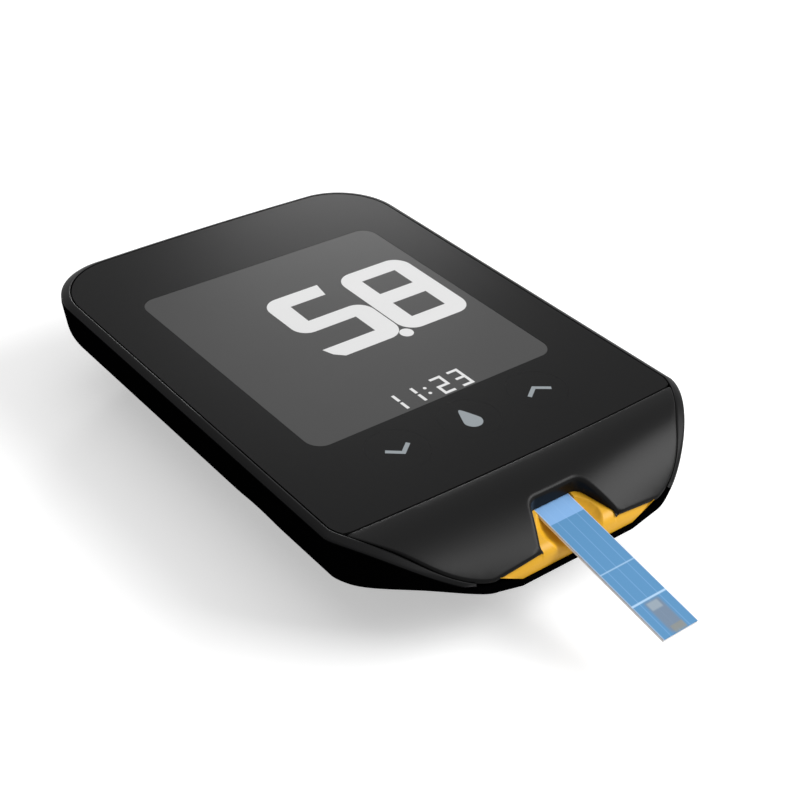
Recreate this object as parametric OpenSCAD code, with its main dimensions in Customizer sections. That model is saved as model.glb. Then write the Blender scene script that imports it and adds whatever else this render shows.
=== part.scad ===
// Hand-held blood glucose meter with a test strip in its port.
// X runs across the meter, +Y points to the far end, the strip port is at -Y, and Z is up.
// The origin is on the flat base, at the middle of the body's length. Lengths are millimetres.

/* [Body] */
// Width of the body
body_w = 54; // [52:0.5:60]
// Length of the body, from the nose to the far end
body_l = 78.6; // [76:0.2:90]
// Height of the body, from the base to the front panel
body_h = 14.6; // [14.2:0.1:18]
// Radius of the two far corners
far_corner_r = 10.1; // [8:0.1:12]
// Width that each rounded near corner takes
near_corner_w = 17; // [15:0.5:19]
// Length that each rounded near corner takes
near_corner_l = 18; // [15:0.5:20]
// How far the far edge bows out at its middle
far_bow = 0.8; // [0.2:0.1:1.2]
// How far the nose bows out at its middle
nose_bow = 0.06; // [0.04:0.01:0.3]
// How much each side draws in towards the far end
side_taper = 0.35; // [0.1:0.05:0.6]
// Thickness of the back shell's wall
wall = 1.4; // [1.2:0.1:1.6]

/* [Underside] */
// Height of the upright wall below the bezel
side_wall_h = 3.15; // [2.5:0.05:3.6]
// Draft of the upright wall, in degrees
side_draft = 8; // [4:1:10]
// Radius that turns the side under
side_fillet_r = 4.6; // [3:0.1:5]
// Slope of the bevelled underside, in degrees from upright
side_bevel = 42; // [36:1:46]
// Radius where the bevel meets the base
base_edge_r = 6; // [4:0.5:8]
// Slope of the underside behind the nose, in degrees from upright
nose_bevel = 60; // [54:1:64]
// Radius where the nose slope meets the base
nose_base_r = 12; // [8:0.5:14]

/* [Front bezel] */
// Width of the bezel's top band
bezel_w = 0.7; // [0.6:0.05:1]
// Height of the bezel's outer wall on the sides
bezel_h = 1.3; // [1.2:0.05:1.6]
// Height of the bezel's outer wall at the nose
bezel_nose_h = 0.45; // [0.4:0.05:0.6]
// Thickness of the deck that carries the front panel
deck_t = 0.8; // [0.7:0.05:0.9]
// Depth of the tongue that fits inside the back shell
tongue_h = 1.2; // [0.8:0.1:1.4]

/* [Chin and nose] */
// Distance from the nose to the seam of the front panel
chin_run = 10.8; // [10:0.1:12]
// Drop of the chin at the nose
chin_drop = 4.12; // [3.8:0.02:4.3]
// How quickly the chin falls away
chin_power = 2.145; // [1.8:0.005:2.4]
// Extra share of the drop towards the sides
chin_crown = 0.75; // [0.4:0.05:0.9]
// How far the panel's near seam bows towards the nose
seam_bow = 0.6; // [0:0.1:1]
// Thickness of the chin cover at its front edge
chin_edge_t = 0.35; // [0.3:0.05:0.38]
// Half width of the notch at its mouth
notch_mouth = 5.7; // [5.4:0.1:6.2]
// Half width of the notch at its back
notch_back = 4.3; // [4.1:0.1:4.8]
// Distance from the nose to the back of the notch
notch_depth = 5.3; // [5.1:0.1:5.6]
// Thickness of the notch's inner wall
notch_wall = 0.7; // [0.5:0.1:0.8]
// Half width of the lip's straight middle
lip_half = 8.6; // [8:0.1:9.4]
// Depth of the lip's top edge below the front panel
lip_depth = 6.8; // [6.5:0.05:7.1]
// Height of the lip's front band
lip_band = 0.6; // [0.4:0.05:0.8]
// Rise of the lip's edge per millimetre towards the sides
lip_slope = 0.486; // [0.44:0.002:0.53]

/* [Front panel and window] */
// Thickness of the front panel
panel_t = 0.8; // [0.7:0.05:0.9]
// Gap between the panel and the bezel
seam_gap = 0.06; // [0.04:0.01:0.1]
// Width of the display window
window_w = 38.16; // [34:0.1:39]
// Distance from the far end to the window
window_far = 13.15; // [12.5:0.05:14]
// Distance from the nose to the window
window_near = 25.65; // [25.6:0.05:30]
// Radius of the window's corners
window_r = 2.2; // [1:0.1:3]

/* [Keys] */
// Distance between neighbouring keys
key_pitch = 10.9; // [10:0.1:12]
// Distance from the nose to the keys
key_from_nose = 20.2; // [19.9:0.1:20.6]
// Radius of each key
key_r = 3.9; // [3.5:0.05:4]
// Gap round each key
key_gap = 0.04; // [0.03:0.01:0.08]
// How far each key travels
key_travel = 0.25; // [0.2:0.01:0.3]
// Radius of each key's plunger
plunger_r = 1.5; // [1.2:0.1:2]

/* [Display stack] */
// Thickness of the foam gasket
gasket_t = 0.2; // [0.15:0.05:0.3]
// Thickness of the display glass
lcd_t = 1.8; // [1.6:0.1:1.9]
// Margin of the display glass round the window
lcd_margin = 0.7; // [0.6:0.05:0.8]
// Thickness of the light guide
guide_t = 0.8; // [0.6:0.1:0.9]
// Thickness of the display frame's floor
tray_t = 0.6; // [0.5:0.05:0.7]

/* [Circuit board] */
// Depth of the board's upper face below the front panel
board_depth = 4.7; // [4.65:0.05:4.9]
// Thickness of the board
board_t = 1; // [0.8:0.1:1.2]
// Margin between the board and the outside of the body
board_margin = 3.2; // [3:0.1:3.8]

/* [Battery] */
// Diameter of the coin cell
cell_d = 20; // [19.5:0.1:20]
// Height of the coin cell
cell_h = 3.2; // [2.8:0.1:3.2]
// Distance from the far end to the middle of the cell
cell_far = 26; // [25:0.5:28]
// Width of the battery door
door_w = 24; // [23:0.5:25]
// Thickness of the battery door
door_t = 1.2; // [1:0.05:1.3]
// Distance from the middle of the cell to the door's near edge
door_reach = 15; // [14:0.5:16]
// How far the door's runners reach sideways
runner_w = 0.8; // [0.6:0.1:1]

/* [Screws] */
// Radius of the screws' shanks
screw_r = 0.75; // [0.6:0.05:0.85]
// Radius of the screws' heads
screw_head_r = 1.55; // [1.4:0.05:1.7]
// Height of the screws' heads
screw_head_h = 1; // [0.8:0.1:1.2]

/* [Test strip] */
// Width of the strip
strip_w = 5.35; // [5:0.05:5.6]
// Thickness of the strip
strip_t = 0.5; // [0.4:0.05:0.6]
// Length of the strip outside the notch
strip_out = 21.4; // [15:0.1:25]
// Length of the strip inside the port
strip_in = 7.6; // [6:0.1:8]
// Downward slope of the strip towards its free end, in degrees
strip_slope = 10.7; // [9:0.1:11]
// Depth of the strip's upper face where it enters the port
strip_depth = 3.19; // [3.1:0.01:3.3]

/* [Data socket] */
// Width of the data socket
socket_w = 7.6; // [7:0.1:8]
// Height of the data socket
socket_h = 2.6; // [2.4:0.1:2.8]
// Length of the data socket
socket_l = 5.2; // [4.6:0.1:5.6]

/* [Hidden] */

$fn = 48;
cut = 1;               // how far a cutting solid runs past the face it cuts
fit = 0.1;             // clearance of a loose fit between moulded pieces
near_steps = 12;       // facets of a near corner
far_steps = 8;         // facets of a far corner
fillet_steps = 3;      // facets across the side's fillet
bevel_steps = 2;       // facets down the bevel
base_steps = 4;        // facets across the base's edge radius

half_w = body_w / 2;
nose_y = -body_l / 2;
far_y = body_l / 2;
key_y = nose_y + key_from_nose;
window_l = body_l - window_far - window_near;
window_y = far_y - window_far - window_l / 2;
cell_y = far_y - cell_far;

function below_top(depth) = body_h - depth;
function clamp(t) = max(0, min(1, t));
function mix(a, b, t) = a + (b - a) * t;

// ---- Plan outline -------------------------------------------------------------------
// Half of the outline, from the nose to the far end, as [x, y, nose weight]. The three
// insets draw the sides, the far end and the nose inwards.
far_keep = 0.65;       // share of an inset that a far corner's centre moves in
near_keep = 0.55;      // share of an inset that a near corner's centre moves in
function nose_weight(a) = let (t = clamp((a - 15) / 60)) t * t * (3 - 2 * t);
function half_outline(side, far, nose) =
    let (x_side = half_w - side,
         near_rx = near_corner_w - side * (1 - near_keep),
         near_ry = near_corner_l - nose * (1 - near_keep),
         near_cx = x_side - near_rx,
         near_cy = nose_y + nose + nose_bow + near_ry,
         far_rx = far_corner_r - side * (1 - far_keep),
         far_ry = far_corner_r - far * (1 - far_keep),
         far_cx = x_side - side_taper - far_rx,
         far_cy = far_y - far - far_bow - far_ry)
    concat(
        [[min(lip_half, 0.9 * near_cx), nose_y + nose, 1]],
        [for (k = [0 : near_steps]) let (a = 90 - 90 * k / near_steps)
            [near_cx + near_rx * cos(a), near_cy - near_ry * sin(a), nose_weight(a)]],
        [for (k = [0 : far_steps]) let (a = 90 * k / far_steps)
            [far_cx + far_rx * cos(a), far_cy + far_ry * sin(a), 0]],
        [for (k = [1 : 2]) let (x = far_cx * (1 - k / 3))
            [x, far_y - far - far_bow * pow(x / far_cx, 2), 0]]);
function mirrored(half) = [for (k = [len(half) - 1 : -1 : 0]) [-half[k][0], half[k][1], half[k][2]]];
function outline(side, far, nose) =
    let (half = half_outline(side, far, nose)) concat(half, [[0, far_y - far, 0]], mirrored(half));
function flat(points) = [for (p = points) [p[0], p[1]]];
module plan(side, far, nose) polygon(flat(outline(side, far, nose)));

// ---- Front surface ------------------------------------------------------------------
// The panel is flat. Past its near seam the chin falls away, more so towards the sides.
function seam_y(x) = nose_y + chin_run + seam_bow * pow(x / half_w, 2);
function past_seam(x, y) = max(0, seam_y(x) - y);
function chin_share(x, y) = clamp(past_seam(x, y) / chin_run);
function crown(x) = let (u = x / near_corner_w) 1 + chin_crown * u * u / (1 + u * u);
function front_z(x, y) = body_h - chin_drop * crown(x) * pow(past_seam(x, y) / chin_run, chin_power);
function bezel_drop(x, y) = mix(bezel_h, bezel_nose_h, pow(chin_share(x, y), 2));
function chin_t(x, y) = mix(panel_t, chin_edge_t, pow(chin_share(x, y), 2));
function lip_z(x) = below_top(lip_depth) + lip_slope * max(0, abs(x) - lip_half);
function edge_z(x, y) = min(front_z(x, y) - bezel_drop(x, y), y < 0 ? lip_z(x) : body_h);

// ---- Lofts --------------------------------------------------------------------------
// Triangles between each ring and the next. All rings have the same count of points.
function skin(ring_count, count, bands) = [
    for (r = [0 : bands - 1], k = [0 : count - 1], t = [0, 1])
        let (here = r * count, next = ((r + 1) % ring_count) * count, after = (k + 1) % count)
        t == 0 ? [here + k, here + after, next + after] : [here + k, next + after, next + k]];
// Joins the rings in order, and closes the first and the last.
module loft(rings) {
    count = len(rings[0]);
    last = len(rings) - 1;
    first_cap = [for (k = [count - 1 : -1 : 0]) k];
    last_cap = [for (k = [0 : count - 1]) last * count + k];
    polyhedron(points = [for (ring = rings, p = ring) p],
        faces = concat(skin(last + 1, count, last), [first_cap, last_cap]));
}
// Joins the rings in order, and the last back to the first.
module hoop(rings) polyhedron(points = [for (ring = rings, p = ring) p],
    faces = skin(len(rings), len(rings[0]), len(rings)));

// ---- Underside ----------------------------------------------------------------------
// A profile runs down from the edge to the base: wall, fillet, bevel, base radius.
// Each entry is [inset, share of the drop, angle of the normal below level].
function profile(drop, wall_h, draft, r_top, bevel, r_base) =
    let (x1 = wall_h * tan(draft),
         x2 = x1 + r_top * (cos(draft) - cos(bevel)),
         z2 = wall_h + r_top * (sin(bevel) - sin(draft)),
         run = (drop - z2 - r_base * (1 - sin(bevel))) / cos(bevel),
         x3 = x2 + run * sin(bevel),
         z3 = z2 + run * cos(bevel))
    concat(
        [[0, 0, 0]],
        [for (k = [0 : fillet_steps]) let (a = mix(draft, bevel, k / fillet_steps))
            [x1 + r_top * (cos(draft) - cos(a)), (wall_h + r_top * (sin(a) - sin(draft))) / drop, a]],
        [for (k = [1 : bevel_steps - 1]) let (t = k / bevel_steps) [mix(x2, x3, t), mix(z2, z3, t) / drop, bevel]],
        [for (k = [0 : base_steps]) let (a = mix(bevel, 90, k / base_steps))
            [x3 + r_base * (cos(bevel) - cos(a)), (z3 + r_base * (sin(a) - sin(bevel))) / drop, a]]);
lip_draft = 4;
lip_fillet_r = 0.5;
far_share = 0.8;       // the far end is drawn in less than the sides
side_profile = profile(body_h - bezel_h, side_wall_h, side_draft, side_fillet_r, side_bevel, base_edge_r);
nose_profile = profile(below_top(lip_depth), lip_band, lip_draft, lip_fillet_r, nose_bevel, nose_base_r);
levels = len(side_profile) - 1;
edge_points = outline(0, 0, 0);
edge_heights = [for (p = edge_points) edge_z(p[0], p[1])];
function ring_at(level, inward) =
    let (s = side_profile[level], n = nose_profile[level],
         side = s[0] + inward * cos(s[2]),
         nose = n[0] + inward / cos(nose_bevel),
         points = outline(side, s[0] * far_share + inward * cos(s[2]), nose))
    [for (k = [0 : len(points) - 1]) let (w = edge_points[k][2], h = edge_heights[k])
        [points[k][0], points[k][1],
         max(inward, h * (1 - mix(s[1], n[1], w)) + inward * mix(sin(s[2]), 0, w))]];
function rim_ring(inward) =
    let (points = outline(inward, inward, inward))
    [for (k = [0 : len(points) - 1]) [points[k][0], points[k][1], edge_heights[k]]];
upright_below_rim = 0.1;
function raised(ring, z) = [for (p = ring) [p[0], p[1], z]];
function lowered(ring, drop) = [for (p = ring) [p[0], p[1], p[2] - drop]];
// The solid inside the underside, drawn inwards from it. It rises straight up past the rim.
module body_within(inward) loft(concat(
    [raised(rim_ring(inward), body_h), lowered(rim_ring(inward), upright_below_rim)],
    [for (level = [1 : levels]) ring_at(level, inward)]));
base_far = far_y - side_profile[levels][0] * far_share;

// ---- Places that several pieces share -----------------------------------------------
deck_z = below_top(panel_t);
board_top = below_top(board_depth);
board_bottom = board_top - board_t;
gasket_z = deck_z - gasket_t;
lcd_z = gasket_z - lcd_t;
guide_z = lcd_z - guide_t;
tray_z = guide_z - tray_t;
lcd_w = window_w + 2 * lcd_margin + 1.6;
lcd_l = window_l + 2 * lcd_margin;
tray_wall = 0.6;
tray_w = lcd_w + 2 * (tray_wall + seam_gap);
tray_l = lcd_l + 2 * (tray_wall + seam_gap);
cell_gap = 0.2;
cell_z = door_t + cell_gap;
bay_r = cell_d / 2 + 0.25;
bay_wall = 1.2;
roof_t = 0.8;
roof_z = cell_z + cell_h + 0.2;
ledge_z = door_t + 1.2;
leaf_w = 3;            // width of the cell's spring leaves
leaf_t = 0.2;          // thickness of the cell's spring leaves
leaf_slot = leaf_w + 1.4;
leaf_reach = 3;        // how far the upper leaf reaches past the middle of the cell
leaf_foot = 3.5;       // length of a leaf's foot on the board
door_near = cell_y - door_reach;
door_far = base_far + 1.9;
key_xs = [-key_pitch, 0, key_pitch];
flange_r = key_r + 0.5;
flange_t = 0.5;
dome_h = 0.35;
plunger_z = board_top + dome_h + key_travel + 0.05;
boss_r = 2.2;
far_screw = [half_w - 10, far_y - 6.8];
near_screw = [half_w - 11.5, nose_y + 12.1];
screw_places = [[far_screw[0], far_screw[1]], [-far_screw[0], far_screw[1]],
                [near_screw[0], near_screw[1]], [-near_screw[0], near_screw[1]]];
head_z = board_bottom - 2.6;
screw_top = deck_z - deck_t - 0.6;
socket_z = board_top;
socket_far = far_y - 1.5;
entry_y = nose_y + notch_depth - 0.1;
connector_w = 10;
connector_back = nose_y + 14;
connector_front = nose_y + notch_depth + notch_wall + fit;

module rounded_box(size, r) linear_extrude(size[2]) rounded_square([size[0], size[1]], r);
module rounded_square(size, r) {
    for (x = [-1, 1], y = [-1, 1])
        translate([x * (size[0] / 2 - r), y * (size[1] / 2 - r)]) circle(r);
    square([size[0] - 2 * r, size[1]], center = true);
    square([size[0], size[1] - 2 * r], center = true);
}
// Places children in the strip's own frame: +Y runs up the strip into the port.
module along_strip() translate([0, entry_y, below_top(strip_depth)]) rotate([strip_slope, 0, 0]) children();

// ---- Housing ------------------------------------------------------------------------
module back_shell() color([0.05, 0.05, 0.055]) difference() {
    union() {
        difference() {
            body_within(0);
            body_within(wall);
            above_rim();
        }
        intersection() {
            body_within(wall / 2);
            union() {
                translate([-door_w / 2 - door_rail, door_near - door_rail, 0])
                    cube([door_w + 2 * door_rail, far_y - door_near, ledge_z]);
                translate([0, cell_y, 0]) cylinder(r = bay_r + bay_wall, h = roof_z + roof_t);
                for (p = screw_places) translate([p[0], p[1], 0]) cylinder(r = boss_r, h = board_bottom);
            }
        }
    }
    door_recess();
    translate([0, cell_y, 0]) cylinder(r = bay_r, h = roof_z);
    negative_window();
    positive_window();
    for (p = screw_places) translate([p[0], p[1], -cut]) {
        cylinder(r = screw_r + 0.25, h = body_h);
        cylinder(r = screw_head_r + 0.25, h = head_z + cut);
    }
    socket_mouth();
    for (x = [-1, 1]) grip_scoop(x);
}
door_rail = 2;         // width of the floor's thick band beside the door
// Everything above the back shell's rim, out past the wall and a little way in.
module above_rim() {
    inside = rim_ring(wall + 0.5);
    outside = rim_ring(-cut);
    hoop([inside, raised(inside, body_h + cut), raised(outside, body_h + cut), outside]);
}
module door_recess() {
    translate([-door_w / 2, door_near, -cut]) cube([door_w, body_l, door_t + cut]);
    translate([-door_w / 2 - runner_w, door_near, door_t - 0.7]) cube([door_w + 2 * runner_w, body_l, 0.7]);
}
module negative_window() translate([-leaf_slot / 2, cell_y - leaf_reach - 1, roof_z - cut])
    cube([leaf_slot, leaf_reach + 4.5, roof_t + 2 * cut]);
module positive_window() translate([-leaf_slot / 2, cell_y - bay_r - bay_wall - 0.4, ledge_z])
    cube([leaf_slot, bay_wall + 1.6, body_h]);
module socket_mouth() translate([0, far_y + cut, socket_z + socket_h / 2]) rotate([90, 0, 0])
    linear_extrude(far_y - socket_far + cut + 0.9) rounded_square([socket_w + 0.5, socket_h + 0.4], 1);
scoop_r = 9;
scoop_depth = 0.45;
module grip_scoop(x) translate([x * (half_w - 2.7 + scoop_r * cos(35) - scoop_depth), nose_y + 26.7,
    6.9 - scoop_r * sin(35)]) sphere(scoop_r);

// The bezel's band is a section carried along the outline, from one end of the lip to the other.
bezel_end = 4;         // the band stops this many points past the start of the outline
function bezel_section(x, y) = let (h = bezel_drop(x, y))
    [[bezel_w, -h], [0, -h], [0, -0.3], [0.08, -0.12], [0.3, -0.02], [bezel_w, 0]];
module bezel_band() {
    count = len(edge_points);
    path = [for (k = [bezel_end : count - 1 - bezel_end]) k];
    insets = [for (s = bezel_section(0, 0)) outline(s[0], s[0], s[0])];
    rings = [for (k = path) let (edge = edge_points[k], section = bezel_section(edge[0], edge[1]))
        [for (j = [0 : len(section) - 1]) let (p = insets[j][k])
            [p[0], p[1], front_z(edge[0], edge[1]) + section[j][1]]]];
    loft(rings);
}
deck_inset = 1.75;
chin_rebate = 0.1;     // the deck steps down where the chin's far edge lies on it
module deck_window() translate([0, window_y, 0])
    rounded_box([lcd_w + 2 * fit, lcd_l + 2 * fit, body_h], 0.6);
module deck_plan() difference() {
    plan(bezel_w - 0.05, bezel_w - 0.05, bezel_w);
    translate([-half_w, nose_y]) square([body_w, chin_run - 0.6]);
}
module front_bezel() color([0.1, 0.1, 0.105]) difference() {
    union() {
        bezel_band();
        difference() {
            union() {
                translate([0, 0, below_top(bezel_h)]) linear_extrude(bezel_h - panel_t) deck_plan();
                translate([0, 0, deck_z - deck_t]) linear_extrude(deck_t) intersection() {
                    deck_plan();
                    plan(deck_inset, deck_inset, deck_inset);
                }
            }
            translate([-half_w, nose_y, deck_z - chin_rebate]) cube([body_w, chin_run + seam_bow, body_h]);
        }
        translate([0, 0, below_top(bezel_h + tongue_h)]) linear_extrude(tongue_h) difference() {
            plan(deck_inset, deck_inset, deck_inset);
            plan(deck_inset + 0.75, deck_inset + 0.75, deck_inset + 0.75);
            translate([-half_w, nose_y]) square([body_w, chin_run + near_corner_l / 2]);
        }
        for (p = screw_places) translate([p[0], p[1], board_top])
            cylinder(r = boss_r, h = deck_z - chin_rebate - board_top);
    }
    deck_window();
    for (x = key_xs) translate([x, key_y, 0]) cylinder(r = flange_r + 0.35, h = body_h);
    for (p = screw_places) translate([p[0], p[1], 0]) cylinder(r = screw_r + 0.02, h = screw_top + 0.2);
    translate([-connector_w / 2 - 0.3, nose_y, 0])
        cube([connector_w + 0.6, connector_back - nose_y + 0.3, body_h]);
    translate([-socket_w / 2 - 0.6, far_y - 8, 0]) cube([socket_w + 1.2, 8 + cut, socket_z + socket_h + fit]);
}

// A layer that follows the front surface, t thick, over the chin.
module chin_layer(extra) {
    x_half = half_w;
    y_low = nose_y - 0.5;
    y_high = nose_y + chin_run + seam_bow + 0.1;
    nx = 24;
    ny = 10;
    xs = [for (k = [0 : nx]) mix(-x_half, x_half, k / nx)];
    ys = [for (k = [0 : ny]) mix(y_low, y_high, k / ny)];
    loft([for (x = xs) concat(
        [for (y = ys) [x, y, front_z(x, y)]],
        [for (k = [ny : -1 : 0]) [x, ys[k], front_z(x, ys[k]) - chin_t(x, ys[k]) - extra]])]);
}
notch_r = 1.6;
module notch_plan(grow) {
    x = notch_back + grow - notch_r;
    y = nose_y + notch_depth + grow - notch_r;
    lean = atan((notch_mouth - notch_back) / (notch_depth - notch_r));
    right = concat([[notch_mouth + grow, nose_y - cut], [notch_mouth + grow, nose_y + 1]],
        [for (k = [0 : 6]) let (a = mix(lean, 90, k / 6)) [x + notch_r * cos(a), y + notch_r * sin(a)]]);
    polygon(concat(right, flat(mirrored(right))));
}
// The plane where the notch's black wall ends and the port insert begins.
port_tilt = 16;
port_plane_z = 3.0;
module above_port_plane(lift) translate([0, entry_y, below_top(port_plane_z) + lift])
    rotate([port_tilt, 0, 0]) translate([-half_w, -half_w, 0]) cube([body_w, body_w, body_h]);
// The chin lies inside the bezel's band, and reaches further forwards between the band's two ends.
chin_side = bezel_w + seam_gap;
chin_front = 0.4;
band_end_x = outline(bezel_w, bezel_w, bezel_w)[bezel_end][0] - seam_gap;
module chin_plan() difference() {
    union() {
        plan(chin_side, chin_side, chin_side);
        intersection() {
            plan(chin_side, chin_side, chin_front);
            translate([-band_end_x, nose_y]) square([2 * band_end_x, chin_run]);
        }
    }
    polygon(concat([for (k = [-12 : 12]) let (x = half_w * k / 12) [x, seam_y(x) - seam_gap]],
        [[half_w, nose_y + 2 * chin_run], [-half_w, nose_y + 2 * chin_run]]));
}
module chin_cover() color([0.09, 0.09, 0.095]) {
    difference() {
        intersection() {
            chin_layer(0);
            linear_extrude(body_h + cut) chin_plan();
        }
        linear_extrude(body_h + cut) notch_plan(0);
    }
    intersection() {
        chin_layer(3.2);
        linear_extrude(body_h + cut) difference() {
            intersection() {
                notch_plan(notch_wall);
                plan(0.5, 0.5, 0.5);
            }
            notch_plan(0);
        }
        above_port_plane(0.05);
    }
}

// ---- Front panel, window and keys ---------------------------------------------------
module panel_plan() difference() {
    plan(bezel_w + seam_gap, bezel_w + seam_gap, bezel_w);
    polygon(concat([for (k = [-12 : 12]) let (x = half_w * k / 12) [x, seam_y(x)]],
        [[half_w, nose_y - cut], [-half_w, nose_y - cut]]));
}
module front_panel() color([0.16, 0.16, 0.165])
translate([0, 0, deck_z]) linear_extrude(panel_t) difference() {
    panel_plan();
    translate([0, window_y]) rounded_square([window_w, window_l], window_r);
    for (x = key_xs) translate([x, key_y]) circle(key_r);
}
module display_window() color([0.36, 0.37, 0.38, 0.6]) translate([0, window_y, deck_z])
    rounded_box([window_w - 0.06, window_l - 0.06, panel_t], window_r - 0.03);
module key(x) translate([x, key_y, 0]) {
    translate([0, 0, deck_z]) cylinder(r = key_r - key_gap, h = panel_t);
    translate([0, 0, deck_z - flange_t]) cylinder(r = flange_r, h = flange_t);
    translate([0, 0, plunger_z]) cylinder(r = plunger_r, h = deck_z - flange_t - plunger_z);
}
module key_down() color([0.17, 0.17, 0.175]) key(key_xs[0]);
module key_home() color([0.17, 0.17, 0.175]) key(key_xs[1]);
module key_up() color([0.17, 0.17, 0.175]) key(key_xs[2]);

// ---- Strip port ---------------------------------------------------------------------
insert_flange = 0.6;
wing_half = 12.3;
face_inset = 0.3;
module port_insert() color([0.93, 0.66, 0.1]) difference() {
    union() {
        wings();
        intersection() {
            translate([0, 0, below_top(lip_depth)]) linear_extrude(body_h) intersection() {
                notch_plan(insert_flange);
                translate([-half_w, nose_y + face_inset]) square([body_w, chin_run]);
            }
            difference() {
                translate([-half_w, -body_l, 0]) cube([body_w, 2 * body_l, body_h]);
                above_port_plane(0);
            }
            difference() {
                translate([-half_w, -body_l, 0]) cube([body_w, 2 * body_l, body_h]);
                front_air();
            }
        }
    }
    rim_band();
    trough();
    along_strip() translate([-strip_w / 2 - 0.15, -notch_depth, -strip_t - 0.15])
        cube([strip_w + 0.3, 2 * notch_depth, strip_t + 1.4]);
}
// The top of the back shell's wall, a little above its rim.
module rim_band() {
    inside = lowered(rim_ring(wall + 1.2), -0.04);
    outside = lowered(rim_ring(-cut), -0.04);
    hoop([inside, outside, lowered(outside, lip_band), lowered(inside, lip_band)]);
}
// The wings fill the face between the chin's front edge and the lip.
module wings() {
    xs = [for (k = [-8 : 8]) wing_half * k / 8];
    front = nose_y + 0.4;
    top = [for (x = xs) [x, front_z(x, front) - chin_t(x, front) - 0.08]];
    bottom = [for (k = [8 : -1 : -8]) let (x = wing_half * k / 8) [x, min(lip_z(x), top[k + 8][1] - 0.02)]];
    intersection() {
        translate([0, nose_y + 2.4, 0]) rotate([90, 0, 0]) linear_extrude(2.4) polygon(concat(top, bottom));
        linear_extrude(body_h) plan(face_inset, face_inset, face_inset);
    }
}
// Space that the chin's front edge takes above the insert's face.
module front_air() translate([-half_w, nose_y - cut, front_z(notch_mouth, nose_y + 0.4) - chin_edge_t - 0.08])
    cube([body_w, 1 + 0.6, body_h]);
// The trough is a bowl. Each section is [distance from the nose, depth, half width, depth of the bowl].
trough_sections = [[-0.2, 4.5, 3.4, 1.5], [2.3, 3.85, 4.4, 2.2], [notch_depth - 0.7, 3.2, 3, 1.8]];
module trough() hull() for (s = trough_sections) translate([0, nose_y + s[0], below_top(s[1])])
    rotate([90, 0, 0]) linear_extrude(0.1) trough_section(s[2], s[3]);
module trough_section(half, deep) polygon(concat([[half, 1.6], [-half, 1.6]],
    [for (a = [180 : 15 : 360]) [half * cos(a), deep * sin(a)]]));

module strip_connector() color([0.13, 0.13, 0.14]) difference() {
    top = deck_z - 0.05;
    rotate([90, 0, 90]) translate([0, 0, -connector_w / 2]) linear_extrude(connector_w) polygon([
        [connector_back, board_top], [connector_front, board_top],
        [connector_front, front_z(0, connector_front) - panel_t - 0.55],
        [nose_y + chin_run - 2.6, front_z(0, nose_y + chin_run - 2.6) - panel_t - 0.25],
        [nose_y + chin_run - 0.6, top - 0.1], [connector_back, top - 0.1]]);
    along_strip() translate([-strip_w / 2 - 0.1, -2, -strip_t - 0.1])
        cube([strip_w + 0.2, strip_in + 2.1, strip_t + 0.2]);
    for (k = [-2 : 2]) along_strip() translate([k * contact_pitch - 0.35, 1.5, -strip_t - 0.55])
        cube([0.7, strip_in + 2, 0.6]);
}
contact_pitch = 1;
module strip_contacts() color([0.85, 0.68, 0.3]) for (k = [-2 : 2]) contact(k * contact_pitch);
// One contact: a blade below the strip, a leg down to the board and a foot behind the connector.
contact_w = 0.5;
contact_t = 0.18;
module contact(x) {
    leg_y = connector_back + 0.1;
    blade_front = connector_front + 2.4;
    function blade_z(y) = below_top(strip_depth) + (y - entry_y) * tan(strip_slope)
        - (strip_t + 0.07) / cos(strip_slope);
    translate([x - contact_w / 2, 0, 0]) rotate([90, 0, 90]) linear_extrude(contact_w) polygon([
        [blade_front, blade_z(blade_front)], [blade_front, blade_z(blade_front) - contact_t],
        [leg_y, blade_z(leg_y) - contact_t], [leg_y, board_top], [leg_y + 1, board_top],
        [leg_y + 1, board_top + contact_t], [leg_y + contact_t, board_top + contact_t],
        [leg_y + contact_t, blade_z(leg_y + contact_t)]]);
}

// ---- Display stack ------------------------------------------------------------------
module display_gasket() color([0.12, 0.12, 0.12]) translate([0, window_y, gasket_z]) difference() {
    rounded_box([lcd_w, lcd_l, gasket_t], 0.5);
    translate([0, 0, -cut]) rounded_box([window_w - 0.6, window_l - 0.6, gasket_t + 2 * cut], 1.5);
}
module lcd_panel() color([0.42, 0.44, 0.45]) translate([0, window_y, lcd_z]) {
    upper = lcd_t / 2;
    translate([0, 0, upper]) rounded_box([lcd_w, lcd_l, lcd_t - upper], 0.3);
    translate([0, 1, 0]) rounded_box([lcd_w, lcd_l - 2, upper], 0.3);
}
guide_short = 4.2;
module light_guide() color([0.9, 0.93, 0.95]) translate([0, window_y + guide_short / 2, guide_z])
    rounded_box([lcd_w - 0.1, lcd_l - guide_short, guide_t], 0.3);
module display_frame() color([0.85, 0.86, 0.86]) translate([0, window_y, 0]) difference() {
    translate([0, 0, board_top]) rounded_box([tray_w, tray_l, deck_z - deck_t - 0.35 - board_top], 0.8);
    translate([0, 0, lcd_z]) rounded_box([lcd_w + 0.1, lcd_l + 0.1, body_h], 0.35);
    translate([0, guide_short / 2, guide_z]) rounded_box([lcd_w, lcd_l - guide_short + 0.1, body_h], 0.35);
    translate([0, guide_short / 2, 0]) rounded_box([lcd_w - 4, lcd_l - guide_short - 3, tray_z], 0.35);
    translate([0, -lcd_l / 2 + 1.9, 0]) rounded_box([lcd_w - 2, 2.2, body_h], 0.3);
}
module elastomer_strip() color([0.75, 0.35, 0.45]) translate([0, window_y - lcd_l / 2 + 1.9, board_top])
    rounded_box([lcd_w - 2.4, 1.8, lcd_z - board_top], 0.2);

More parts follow.
